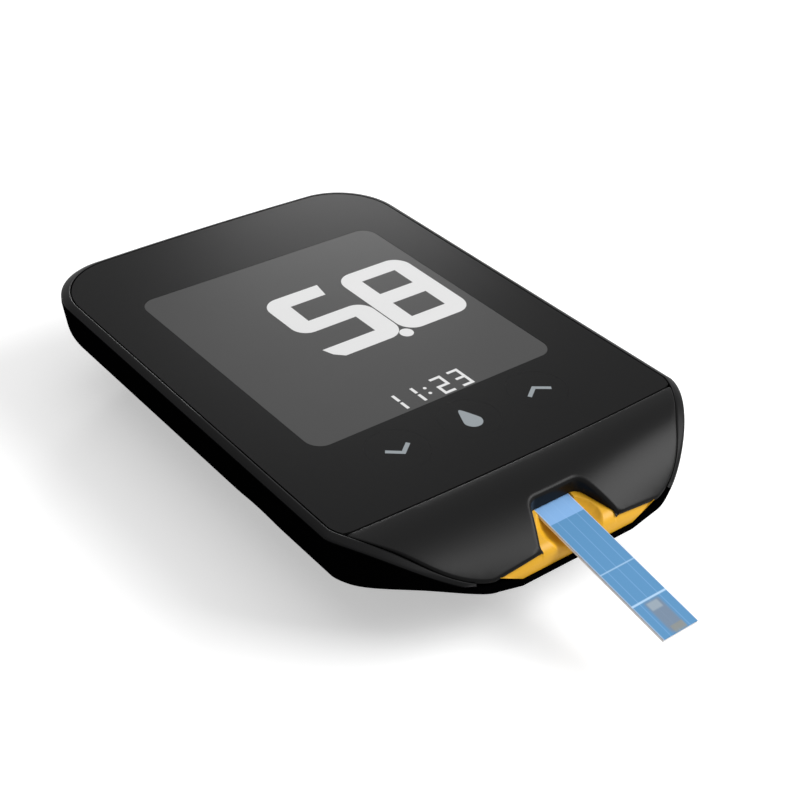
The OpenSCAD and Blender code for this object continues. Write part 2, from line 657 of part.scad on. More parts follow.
// ---- Board and what it carries ------------------------------------------------------
board_near = nose_y + 6.4;
module circuit_board() color([0.05, 0.32, 0.16])
translate([0, 0, board_bottom]) linear_extrude(board_t) difference() {
    plan(board_margin, board_margin, board_margin);
    translate([-half_w, nose_y - cut]) square([body_w, board_near - nose_y + cut]);
    for (p = screw_places) translate([p[0], p[1]]) circle(screw_r + 0.25);
}
chip_t = 1;
chip_y = (key_y + cell_y - bay_r - bay_wall) / 2;
// Each chip is [x, width, length].
chips = [[5, 8, 8], [-6, 5, 6], [half_w - 13, 4, 5]];
module board_chips() color([0.08, 0.08, 0.09]) for (c = chips)
    translate([c[0], chip_y, board_bottom - chip_t]) rounded_box([c[1], c[2], chip_t], 0.3);
module key_domes() color([0.8, 0.8, 0.82]) for (x = key_xs) translate([x, key_y, board_top]) dome(2.6);
module dome(r) rotate_extrude() polygon(concat([[0, 0]],
    [for (k = [0 : 4]) let (t = k / 4) [r * (1 - t), dome_h * (1 - pow(1 - t, 2))]]));
buzzer_r = 4;
buzzer_h = 2.2;
module buzzer() color([0.07, 0.07, 0.07])
    translate([buzzer_r + 10 - half_w, key_y - 1.2, board_bottom - buzzer_h]) difference() {
        cylinder(r = buzzer_r, h = buzzer_h);
        translate([0, 0, -cut]) cylinder(r = buzzer_r / 5, h = cut + 0.6);
    }
module data_socket() color([0.72, 0.73, 0.75])
translate([0, socket_far, socket_z + socket_h / 2]) rotate([90, 0, 0]) difference() {
    linear_extrude(socket_l) rounded_square([socket_w, socket_h], 0.6);
    translate([0, 0, -cut]) linear_extrude(socket_l - 0.6 + cut) rounded_square([socket_w - 0.7, socket_h - 0.7], 0.4);
}

// ---- Battery ------------------------------------------------------------------------
module coin_cell() color([0.75, 0.76, 0.78]) translate([0, cell_y, cell_z]) {
    cylinder(r = cell_d / 2, h = cell_h - 0.6);
    cylinder(r = cell_d / 2 - 1.4, h = cell_h);
}
module cell_contact_negative() color([0.8, 0.78, 0.7]) translate([-leaf_w / 2, cell_y + 2 - leaf_t, 0]) {
    top = cell_z + cell_h;
    translate([0, leaf_t - 2 - leaf_reach, top]) cube([leaf_w, leaf_reach + 2, leaf_t]);
    translate([0, 0, top]) cube([leaf_w, leaf_t, board_bottom - top]);
    translate([0, 0, board_bottom - leaf_t]) cube([leaf_w, leaf_foot, leaf_t]);
}
module cell_contact_positive() color([0.8, 0.78, 0.7]) translate([-leaf_w / 2, cell_y - cell_d / 2 - 0.05, 0]) {
    translate([0, -leaf_t, ledge_z + 0.2]) cube([leaf_w, leaf_t, board_bottom - ledge_z - 0.2]);
    translate([0, -leaf_foot, board_bottom - leaf_t]) cube([leaf_w, leaf_foot, leaf_t]);
}
ridge_count = 5;
module battery_door() color([0.06, 0.06, 0.065]) difference() {
    intersection() {
        body_within(0);
        union() {
            translate([-door_w / 2 + fit, door_near + fit, 0])
                cube([door_w - 2 * fit, door_far - door_near - fit, door_t - 0.05]);
            translate([-door_w / 2 - runner_w + fit, door_near + fit, door_t - 0.6])
                cube([door_w + 2 * runner_w - 2 * fit, door_far - door_near - fit, 0.55]);
        }
    }
    for (k = [0 : ridge_count - 1]) translate([-5, door_near + 3 + 1.6 * k, -0.1]) cube([10, 0.8, 0.4]);
}

// ---- Fasteners ----------------------------------------------------------------------
module screw() {
    translate([0, 0, head_z - screw_head_h]) difference() {
        cylinder(r = screw_head_r, h = screw_head_h);
        for (a = [0, 90]) rotate(a) translate([-0.9, -0.2, -cut]) cube([1.8, 0.4, cut + 0.5]);
    }
    translate([0, 0, head_z]) cylinder(r = screw_r, h = screw_top - head_z);
}
module housing_screws() color([0.5, 0.5, 0.52]) for (p = screw_places) translate([p[0], p[1], 0]) screw();

// ---- Test strip ---------------------------------------------------------------------
module test_strip() color([0.36, 0.57, 0.78]) along_strip()
    translate([-strip_w / 2, -strip_out, -strip_t]) cube([strip_w, strip_out + strip_in, strip_t]);

back_shell();
front_bezel();
chin_cover();
front_panel();
display_window();
key_down();
key_home();
key_up();
port_insert();
display_gasket();
lcd_panel();
light_guide();
display_frame();
elastomer_strip();
circuit_board();
board_chips();
key_domes();
strip_connector();
strip_contacts();
buzzer();
coin_cell();
cell_contact_negative();
cell_contact_positive();
battery_door();
housing_screws();
data_socket();
test_strip();
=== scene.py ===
"""Hand-held blood glucose meter with a test strip in its port.

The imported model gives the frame. The moulded pieces are rebuilt here on finer surfaces in the
same places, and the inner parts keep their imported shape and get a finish.
"""
import logging
import math
from dataclasses import dataclass
from enum import Enum
from typing import Callable, Iterable, Sequence

import bpy
import numpy as np
from mathutils import Matrix, Vector, geometry
from mathutils.bvhtree import BVHTree


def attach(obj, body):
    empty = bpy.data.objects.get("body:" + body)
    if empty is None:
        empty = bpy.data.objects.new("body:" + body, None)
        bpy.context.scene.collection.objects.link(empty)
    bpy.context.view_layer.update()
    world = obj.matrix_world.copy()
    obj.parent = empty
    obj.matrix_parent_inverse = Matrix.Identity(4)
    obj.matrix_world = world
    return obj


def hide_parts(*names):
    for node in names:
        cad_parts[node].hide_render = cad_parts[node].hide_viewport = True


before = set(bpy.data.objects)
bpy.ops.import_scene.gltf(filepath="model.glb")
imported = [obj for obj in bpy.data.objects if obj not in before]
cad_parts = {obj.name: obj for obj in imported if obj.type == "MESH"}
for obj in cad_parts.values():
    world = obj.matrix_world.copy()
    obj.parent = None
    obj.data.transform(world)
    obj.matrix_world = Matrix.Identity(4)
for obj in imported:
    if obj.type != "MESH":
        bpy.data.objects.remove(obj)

LOG = logging.getLogger("meter")
MM = 0.001
Point2 = tuple[float, float]
Input = bpy.types.NodeSocket | float | Sequence[float]
Values = float | np.ndarray
Field = Callable[[np.ndarray, np.ndarray], np.ndarray]


# ---- Small numeric helpers -----------------------------------------------------------
def mix(a: Values, b: Values, t: Values) -> Values:
    """Blend from a to b as t goes from 0 to 1."""
    return a + (b - a) * t


def smooth(t: Values) -> Values:
    """Ease from 0 to 1, flat at both ends."""
    t = np.clip(t, 0.0, 1.0)
    return t * t * (3 - 2 * t)


def roll_off(distance: Values, radius: float) -> Values:
    """Drop of a rounded edge at a distance inside it.

    Args:
        distance: Distance from the edge, in millimetres.
        radius: Radius of the rounding, in millimetres.

    Returns:
        How far the surface lies below the flat level there.
    """
    inner = np.clip(radius - distance, 0.0, radius)
    return radius - np.sqrt(np.maximum(radius * radius - inner * inner, 0.0))


class Body(Enum):
    """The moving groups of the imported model."""

    HOUSING = "housing"
    DOWN_KEY = "down_key"
    HOME_KEY = "home_key"
    UP_KEY = "up_key"
    DOOR = "door"
    STRIP = "strip"


# ---- The housing's form --------------------------------------------------------------
@dataclass(frozen=True)
class HousingForm:
    """Outline and surfaces that the moulded pieces share, in millimetres.

    The origin is on the base at the middle of the length, +Y runs to the far end and the
    strip port is at -Y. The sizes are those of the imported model.
    """

    width: float = 54.0
    length: float = 78.6
    height: float = 14.6
    far_corner: float = 9.2
    near_corner: Point2 = (14.2, 12.6)
    near_power: float = 1.4
    far_bow: float = 0.3
    nose_bow: float = 0.06
    side_taper: float = 0.35
    wall: float = 1.4
    bezel_w: float = 1.0
    bezel_h: float = 1.3
    bezel_nose_h: float = 0.45
    chin_run: float = 10.8
    chin_drop: float = 4.12
    chin_power: float = 2.145
    chin_crown: float = 0.75
    crown_half: float = 17.0
    seam_bow: float = 0.6
    seam_gap: float = 0.06
    panel_t: float = 0.8
    chin_edge_t: float = 0.35
    lip_half: float = 8.6
    lip_depth: float = 6.8
    lip_slope: float = 0.486
    notch_mouth: float = 5.7
    notch_back: float = 4.3
    notch_depth: float = 5.3
    notch_r: float = 1.6
    port_plane: float = 3.0
    port_tilt: float = 16.0
    nose_steps: int = 7
    near_steps: int = 44
    side_steps: int = 44
    far_steps: int = 28
    edge_steps: int = 8

    @property
    def half_w(self) -> float:
        """Half of the width."""
        return self.width / 2

    @property
    def nose_y(self) -> float:
        """Y of the nose."""
        return -self.length / 2

    @property
    def far_y(self) -> float:
        """Y of the far end."""
        return self.length / 2

    @property
    def entry_y(self) -> float:
        """Y at which the strip enters the port."""
        return self.nose_y + self.notch_depth - 0.1

    def half_outline(self, side: float, far: float, nose: float) -> np.ndarray:
        """Half of the outline, from the middle of the nose to the middle of the far end.

        Args:
            side: How far the sides are drawn in.
            far: How far the far end is drawn in.
            nose: How far the nose is drawn in.

        Returns:
            Rows of x, y and the nose weight.
        """
        rx, ry = self.near_corner[0] - side * 0.45, self.near_corner[1] - nose * 0.45
        x_side = self.half_w - side
        cx, cy = x_side - rx, self.nose_y + nose + self.nose_bow + ry
        fx, fy = self.far_corner - side * 0.35, self.far_corner - far * 0.35
        fcx, fcy = x_side - self.side_taper - fx, self.far_y - far - self.far_bow - fy
        lip = min(self.lip_half, 0.9 * cx)
        rows = [(lip * k / self.nose_steps, self.nose_y + nose, 1.0) for k in range(self.nose_steps + 1)]
        for k in range(self.near_steps + 1):
            a = math.radians(90 - 90 * k / self.near_steps)
            weight = float(smooth((math.degrees(a) - 15) / 60))
            bend = 2 / self.near_power
            rows.append((cx + rx * abs(math.cos(a)) ** bend, cy - ry * math.sin(a) ** bend, weight))
        for k in range(1, self.side_steps):
            t = k / self.side_steps
            rows.append((mix(x_side, x_side - self.side_taper, t), mix(cy, fcy, t), 0.0))
        for k in range(self.far_steps + 1):
            a = math.radians(90 * k / self.far_steps)
            rows.append((fcx + fx * math.cos(a), fcy + fy * math.sin(a), 0.0))
        for k in range(1, self.edge_steps + 1):
            x = fcx * (1 - k / self.edge_steps)
            rows.append((x, self.far_y - far - self.far_bow * (x / fcx) ** 2, 0.0))
        return np.array(rows)

    def outline(self, side: float, far: float, nose: float) -> np.ndarray:
        """Whole outline, counter-clockwise from the middle of the nose, as x, y and weight."""
        half = self.half_outline(side, far, nose)
        other = half[-2:0:-1] * np.array([-1.0, 1.0, 1.0])
        return np.vstack([half, other])

    def inset(self, amount: float) -> np.ndarray:
        """The outline drawn in by the same amount all round."""
        return self.outline(amount, amount, amount)

    def seam(self, x: Values) -> Values:
        """Y of the panel's near seam."""
        return self.nose_y + self.chin_run + self.seam_bow * (x / self.half_w) ** 2

    def past(self, x: Values, y: Values) -> Values:
        """Distance past the seam, as a share of the chin's run."""
        return np.maximum(0.0, self.seam(x) - y) / self.chin_run

    def front(self, x: Values, y: Values) -> Values:
        """Height of the front surface: the flat panel, and the chin that falls away from it."""
        u = (x / self.crown_half) ** 2
        crown = 1 + self.chin_crown * u / (1 + u)
        return self.height - self.chin_drop * crown * self.past(x, y) ** self.chin_power

    def band_height(self, x: Values, y: Values) -> Values:
        """Height of the bezel's outer wall."""
        return mix(self.bezel_h, self.bezel_nose_h, np.clip(self.past(x, y), 0, 1) ** 2)

    def chin_thickness(self, x: Values, y: Values) -> Values:
        """Thickness of the chin cover."""
        return mix(self.panel_t, self.chin_edge_t, np.clip(self.past(x, y), 0, 1) ** 2)

    def lip(self, x: Values) -> Values:
        """Height of the lip's edge."""
        return self.height - self.lip_depth + self.lip_slope * np.maximum(0.0, np.abs(x) - self.lip_half)

    def edge(self, x: Values, y: Values) -> Values:
        """Height of the back shell's edge."""
        lip = np.where(y < 0, self.lip(x), self.height)
        return np.minimum(self.front(x, y) - self.band_height(x, y), lip)

    def port_level(self, y: Values) -> Values:
        """Height of the sloping plane on which the port's yellow insert ends."""
        return self.height - self.port_plane - (self.entry_y - y) * math.tan(math.radians(self.port_tilt))

    def notch(self, grow: float, steps: int = 14) -> np.ndarray:
        """Outline of the notch, grown outwards, from its right mouth round to its left mouth."""
        r = self.notch_r
        cx, cy = self.notch_back + grow - r, self.nose_y + self.notch_depth + grow - r
        lean = math.degrees(math.atan((self.notch_mouth - self.notch_back) / (self.notch_depth - r)))
        right = [(self.notch_mouth + grow, self.nose_y - 1.0), (self.notch_mouth + grow, self.nose_y + 1.0)]
        start = (cx + r * math.cos(math.radians(lean)), cy + r * math.sin(math.radians(lean)))
        for k in range(1, 8):
            t = k / 8
            right.append((mix(right[1][0], start[0], t), mix(right[1][1], start[1], t)))
        for k in range(steps + 1):
            a = math.radians(mix(lean, 90, k / steps))
            right.append((cx + r * math.cos(a), cy + r * math.sin(a)))
        points = right + [(-x, y) for x, y in reversed(right)]
        return np.array(points)


@dataclass(frozen=True)
class Underside:
    """Profile of the back shell below its edge, in millimetres and degrees."""

    form: HousingForm
    side_wall: float = 3.15
    side_draft: float = 8.0
    side_fillet: float = 4.6
    side_bevel: float = 42.0
    base_edge: float = 6.0
    lip_band: float = 0.6
    lip_draft: float = 4.0
    lip_fillet: float = 0.5
    nose_bevel: float = 60.0
    nose_base: float = 12.0
    far_share: float = 0.8
    wall_steps: int = 9
    fillet_steps: int = 9
    bevel_steps: int = 8
    base_steps: int = 9

    def profile(self, drop: float, wall: float, draft: float, r_top: float, bevel: float,
                r_base: float) -> list[tuple[float, float, float]]:
        """Rows of inset, share of the drop and angle of the normal below level."""
        d, b = math.radians(draft), math.radians(bevel)
        x1 = wall * math.tan(d)
        x2, z2 = x1 + r_top * (math.cos(d) - math.cos(b)), wall + r_top * (math.sin(b) - math.sin(d))
        run = (drop - z2 - r_base * (1 - math.sin(b))) / math.cos(b)
        x3, z3 = x2 + run * math.sin(b), z2 + run * math.cos(b)
        rows = [(x1 * k / self.wall_steps, wall * k / self.wall_steps, draft) for k in range(self.wall_steps)]
        for k in range(self.fillet_steps + 1):
            a = mix(draft, bevel, k / self.fillet_steps)
            ar = math.radians(a)
            rows.append((x1 + r_top * (math.cos(d) - math.cos(ar)),
                         wall + r_top * (math.sin(ar) - math.sin(d)), a))
        for k in range(1, self.bevel_steps):
            rows.append((mix(x2, x3, k / self.bevel_steps), mix(z2, z3, k / self.bevel_steps), bevel))
        for k in range(self.base_steps + 1):
            a = mix(bevel, 90, k / self.base_steps)
            ar = math.radians(a)
            rows.append((x3 + r_base * (math.cos(b) - math.cos(ar)),
                         z3 + r_base * (math.sin(ar) - math.sin(b)), a))
        return [(x, z / drop, a) for x, z, a in rows]

    def rings(self, inward: float) -> list[np.ndarray]:
        """Rings of the shell's surface, from its edge down to the base, drawn inwards."""
        f = self.form
        sides = self.profile(f.height - f.bezel_h, self.side_wall, self.side_draft, self.side_fillet,
                             self.side_bevel, self.base_edge)
        noses = self.profile(f.height - f.lip_depth, self.lip_band, self.lip_draft, self.lip_fillet,
                             self.nose_bevel, self.nose_base)
        rim = f.inset(0.0)
        heights = f.edge(rim[:, 0], rim[:, 1])
        weight = rim[:, 2]
        top = f.inset(inward)
        rings = [np.column_stack([top[:, 0], top[:, 1], heights])]
        for s, n in zip(sides[1:], noses[1:]):
            side = s[0] + inward * math.cos(math.radians(s[2]))
            far = s[0] * self.far_share + inward * math.cos(math.radians(s[2]))
            plan = f.outline(side, far, n[0] + inward / math.cos(math.radians(self.nose_bevel)))
            rise = inward * mix(math.sin(math.radians(s[2])), 0.0, weight)
            z = np.maximum(inward, heights * (1 - mix(s[1], n[1], weight)) + rise)
            rings.append(np.column_stack([plan[:, 0], plan[:, 1], z]))
        return rings


# ---- Closed meshes -------------------------------------------------------------------
class Solid:
    """A closed mesh in millimetres that can be joined, cut and made into an object."""

    def __init__(self, points: Sequence, faces: Sequence) -> None:
        """Keep the points and the faces.

        Args:
            points: Rows of x, y and z in millimetres.
            faces: Rings of point numbers, counter-clockwise seen from outside.
        """
        self.points = np.asarray(points, float).reshape(-1, 3)
        self.faces = [tuple(int(i) for i in f) for f in faces]

    def mesh(self, name: str) -> bpy.types.Mesh:
        """A Blender mesh of this solid, in metres."""
        mesh = bpy.data.meshes.new(name)
        mesh.from_pydata((self.points * MM).tolist(), [], self.faces)
        mesh.validate()
        return mesh

    def _with(self, other: "Solid", operation: str) -> "Solid":
        """This solid after a Boolean with another one."""
        scene = bpy.context.scene.collection
        parts = [bpy.data.objects.new("boolean", s.mesh("boolean")) for s in (self, other)]
        for o in parts:
            scene.objects.link(o)
        modifier = parts[0].modifiers.new("boolean", "BOOLEAN")
        modifier.solver, modifier.operation, modifier.object = "MANIFOLD", operation, parts[1]
        graph = bpy.context.evaluated_depsgraph_get()
        made = bpy.data.meshes.new_from_object(parts[0].evaluated_get(graph), depsgraph=graph)
        points = np.empty(len(made.vertices) * 3)
        made.vertices.foreach_get("co", points)
        result = Solid(points.reshape(-1, 3) / MM, [tuple(p.vertices) for p in made.polygons])
        if not result.faces:
            raise ValueError(f"a {operation.lower()} left nothing")
        old = [made] + [o.data for o in parts]
        for o in parts:
            bpy.data.objects.remove(o)
        for m in old:
            bpy.data.meshes.remove(m)
        return result

    def __or__(self, other: "Solid") -> "Solid":
        """Both solids joined."""
        return self._with(other, "UNION")

    def __and__(self, other: "Solid") -> "Solid":
        """What both solids share."""
        return self._with(other, "INTERSECT")

    def __sub__(self, other: "Solid") -> "Solid":
        """This solid with the other one cut out."""
        return self._with(other, "DIFFERENCE")

    def beside(self, other: "Solid") -> "Solid":
        """Both solids in one mesh, without joining them."""
        shift = len(self.points)
        faces = self.faces + [tuple(i + shift for i in f) for f in other.faces]
        return Solid(np.vstack([self.points, other.points]), faces)

    def moved(self, x: float = 0.0, y: float = 0.0, z: float = 0.0) -> "Solid":
        """A copy moved by so many millimetres."""
        return Solid(self.points + np.array([x, y, z]), self.faces)

    def turned(self, turn: Matrix) -> "Solid":
        """A copy turned or placed by a matrix that works in millimetres."""
        moved = [turn @ Vector(p) for p in self.points]
        return Solid([tuple(p) for p in moved], self.faces)


class Shapes:
    """Makers of simple closed solids, in millimetres."""

    @staticmethod
    def loft(rings: Sequence[np.ndarray]) -> Solid:
        """Join rings of the same count in order, and close both ends."""
        count, last = len(rings[0]), len(rings) - 1
        faces = Shapes._bands(count, last, len(rings))
        faces += [tuple(range(count - 1, -1, -1)), tuple(last * count + k for k in range(count))]
        return Solid(np.vstack(rings), faces)

    @staticmethod
    def _bands(count: int, bands: int, total: int) -> list[tuple[int, ...]]:
        """Faces of the bands between rings of the same number of points."""
        faces = []
        for r in range(bands):
            here, there = r * count, ((r + 1) % total) * count
            for k in range(count):
                after = (k + 1) % count
                faces.append((here + k, here + after, there + after, there + k))
        return faces

    @staticmethod
    def prism(plan: Sequence[Point2], low: float, high: float) -> Solid:
        """A counter-clockwise plan drawn up from one height to another."""
        plan = np.asarray(plan, float)[:, :2]
        count = len(plan)
        rings = [np.column_stack([plan, np.full(count, z)]) for z in (low, high)]
        return Shapes.loft(rings)

    @staticmethod
    def box(low: Sequence[float], high: Sequence[float]) -> Solid:
        """A block between two corners."""
        plan = [(low[0], low[1]), (high[0], low[1]), (high[0], high[1]), (low[0], high[1])]
        return Shapes.prism(plan, low[2], high[2])

    @staticmethod
    def disc(x: float, y: float, r: float, low: float, high: float,
             edge: float = 0.0, steps: int = 64) -> Solid:
        """A disc or a cylinder, with its upper edge rounded by a small radius if one is given."""
        rings = [(r, low)]
        bends = 4 if edge > 0 else 0
        for k in range(bends + 1):
            a = math.pi / 2 * k / max(bends, 1)
            rings.append((r - edge + edge * math.cos(a), high - edge + edge * math.sin(a)))
        if bends:
            rings.append((r - 1.5 * edge, high))
        turn = [2 * math.pi * k / steps for k in range(steps)]
        return Shapes.loft([np.array([(x + q * math.cos(a), y + q * math.sin(a), z) for a in turn])
                            for q, z in rings])

    @staticmethod
    def rounded(corners: Sequence[tuple[float, float, float]], steps: int = 10) -> np.ndarray:
        """Outline through corners given as x, y and radius; a radius of 0 keeps a corner sharp."""
        points = []
        count = len(corners)
        for k, (x, y, r) in enumerate(corners):
            here = Vector((x, y))
            if r <= 0:
                points.append((x, y))
                continue
            before = (Vector(corners[k - 1][:2]) - here).normalized()
            after = (Vector(corners[(k + 1) % count][:2]) - here).normalized()
            half = before.angle(after) / 2
            back = r / math.tan(half)
            centre = here + (before + after).normalized() * (r / math.sin(half))
            a, b = here + before * back - centre, here + after * back - centre
            start = math.atan2(a.y, a.x)
            swing = (math.atan2(b.y, b.x) - start + math.pi) % (2 * math.pi) - math.pi
            for j in range(steps + 1):
                t = start + swing * j / steps
                points.append((centre.x + r * math.cos(t), centre.y + r * math.sin(t)))
        return np.array(points)

    @staticmethod
    def rectangle(width: float, length: float, r: float, x: float = 0.0, y: float = 0.0) -> np.ndarray:
        """A rounded rectangle about a centre."""
        w, h = width / 2, length / 2
        corners = [(x + w, y - h, r), (x + w, y + h, r), (x - w, y + h, r), (x - w, y - h, r)]
        return Shapes.rounded(corners)

    @staticmethod
    def stroke(line: Sequence[Point2], width: float) -> np.ndarray:
        """A ribbon of even width along an open line with mitred turns."""
        left, right = [], []
        points = [Vector(p) for p in line]
        for k, p in enumerate(points):
            into = (p - points[k - 1]).normalized() if k else (points[1] - p).normalized()
            out = (points[k + 1] - p).normalized() if k < len(points) - 1 else into
            side = Vector((-(into + out).y, (into + out).x)).normalized()
            reach = width / 2 / max(0.4, side.dot(Vector((-into.y, into.x))))
            left.append(p + side * reach)
            right.append(p - side * reach)
        return np.array([tuple(p) for p in right + left[::-1]])

    @staticmethod
    def plate(loops: Sequence[np.ndarray], inner: Sequence[np.ndarray], top: Field, bottom: Field,
              step: float) -> Solid:
        """A plate whose upper and lower surfaces follow two height fields.

        Args:
            loops: The boundary first, then the holes, each counter-clockwise.
            inner: Extra lines of points that the mesh follows, as closed or open runs.
            top: Height of the upper surface.
            bottom: Height of the lower surface.
            step: Spacing of the grid that fills the plate.

        Returns:
            The closed plate.
        """
        points, edges = [], []
        for loop in loops:
            start = len(points)
            points += [Vector(p[:2]) for p in loop]
            edges += [(start + k, start + (k + 1) % len(loop)) for k in range(len(loop))]
        for line in inner:
            start = len(points)
            points += [Vector(p[:2]) for p in line]
            edges += [(start + k, start + k + 1) for k in range(len(line) - 1)]
        lows, highs = np.min(loops[0][:, :2], 0), np.max(loops[0][:, :2], 0)
        taken = np.array([tuple(p) for p in points])
        for x in np.arange(lows[0] + step / 2, highs[0], step):
            for y in np.arange(lows[1] + step / 2, highs[1], step):
                clear = np.min(np.hypot(taken[:, 0] - x, taken[:, 1] - y)) > step * 0.45
                if clear and Shapes.within(x, y, loops):
                    points.append(Vector((x, y)))
        flat, _, triangles, *_ = geometry.delaunay_2d_cdt(points, edges, [], 1, 1e-6)
        flat = np.array([tuple(p) for p in flat])
        keep = [t for t in triangles if Shapes.within(*np.mean(flat[list(t)], 0), loops)]
        x, y = flat[:, 0], flat[:, 1]
        upper, lower = np.column_stack([x, y, top(x, y)]), np.column_stack([x, y, bottom(x, y)])
        count = len(flat)
        faces = [tuple(t) for t in keep] + [tuple(i + count for i in reversed(t)) for t in keep]
        used = {}
        for t in keep:
            for a, b in zip(t, t[1:] + t[:1]):
                used[(a, b)] = True
        faces += [(b, a, a + count, b + count) for a, b in used if (b, a) not in used]
        return Solid(np.vstack([upper, lower]), faces)

    @staticmethod
    def within(x: float, y: float, loops: Sequence[np.ndarray]) -> bool:
        """True if a point lies inside the first loop and outside the others."""
        crossings = 0
        for loop in loops:
            a, b = loop, np.roll(loop, -1, 0)
            spans = (a[:, 1] > y) != (b[:, 1] > y)
            rise = np.where(spans, b[:, 1] - a[:, 1], 1.0)
            at = a[:, 0] + (y - a[:, 1]) * (b[:, 0] - a[:, 0]) / rise
            crossings += int(np.count_nonzero(spans & (at > x)))
        return crossings % 2 == 1


# ---- Finishes ------------------------------------------------------------------------
@dataclass(frozen=True)
class Finish:
    """Look of one material. Colours are linear, sizes are metres."""

    name: str
    color: tuple[float, float, float]
    roughness: float = 0.5
    metallic: float = 0.0
    specular: float = 0.5
    coat: float = 0.0
    grain: float = 0.0
    grain_size: float = 0.0003
    mottle: float = 0.08
    glow: float = 0.0
    clear: float = 0.0
    brushed: bool = False


class NodeKit:
    """Adds and links shader nodes with short calls."""

    def __init__(self, tree: bpy.types.NodeTree) -> None:
        """Work on this tree."""
        self.tree = tree

    def add(self, kind: str, **values) -> bpy.types.Node:
        """Add a node and set its properties."""
        node = self.tree.nodes.new(kind)
        for key, value in values.items():
            setattr(node, key, value)
        return node

    def link(self, source: bpy.types.NodeSocket, target: bpy.types.NodeSocket) -> None:
        """Link an output to an input."""
        self.tree.links.new(source, target)

    def math(self, operation: str, *inputs) -> bpy.types.NodeSocket:
        """A Math node over sockets or numbers."""
        node = self.add("ShaderNodeMath", operation=operation)
        for k, value in enumerate(inputs):
            if isinstance(value, (int, float)):
                node.inputs[k].default_value = value
            else:
                self.link(value, node.inputs[k])
        return node.outputs[0]

    def blend(self, factor: Input, a: Input, b: Input) -> bpy.types.NodeSocket:
        """A colour mix of sockets or plain colours."""
        node = self.add("ShaderNodeMix", data_type="RGBA")
        for slot, value in ((0, factor), (6, a), (7, b)):
            if isinstance(value, (int, float)):
                node.inputs[slot].default_value = value
            elif isinstance(value, tuple):
                node.inputs[slot].default_value = (*value[:3], 1.0)
            else:
                self.link(value, node.inputs[slot])
        return node.outputs[2]


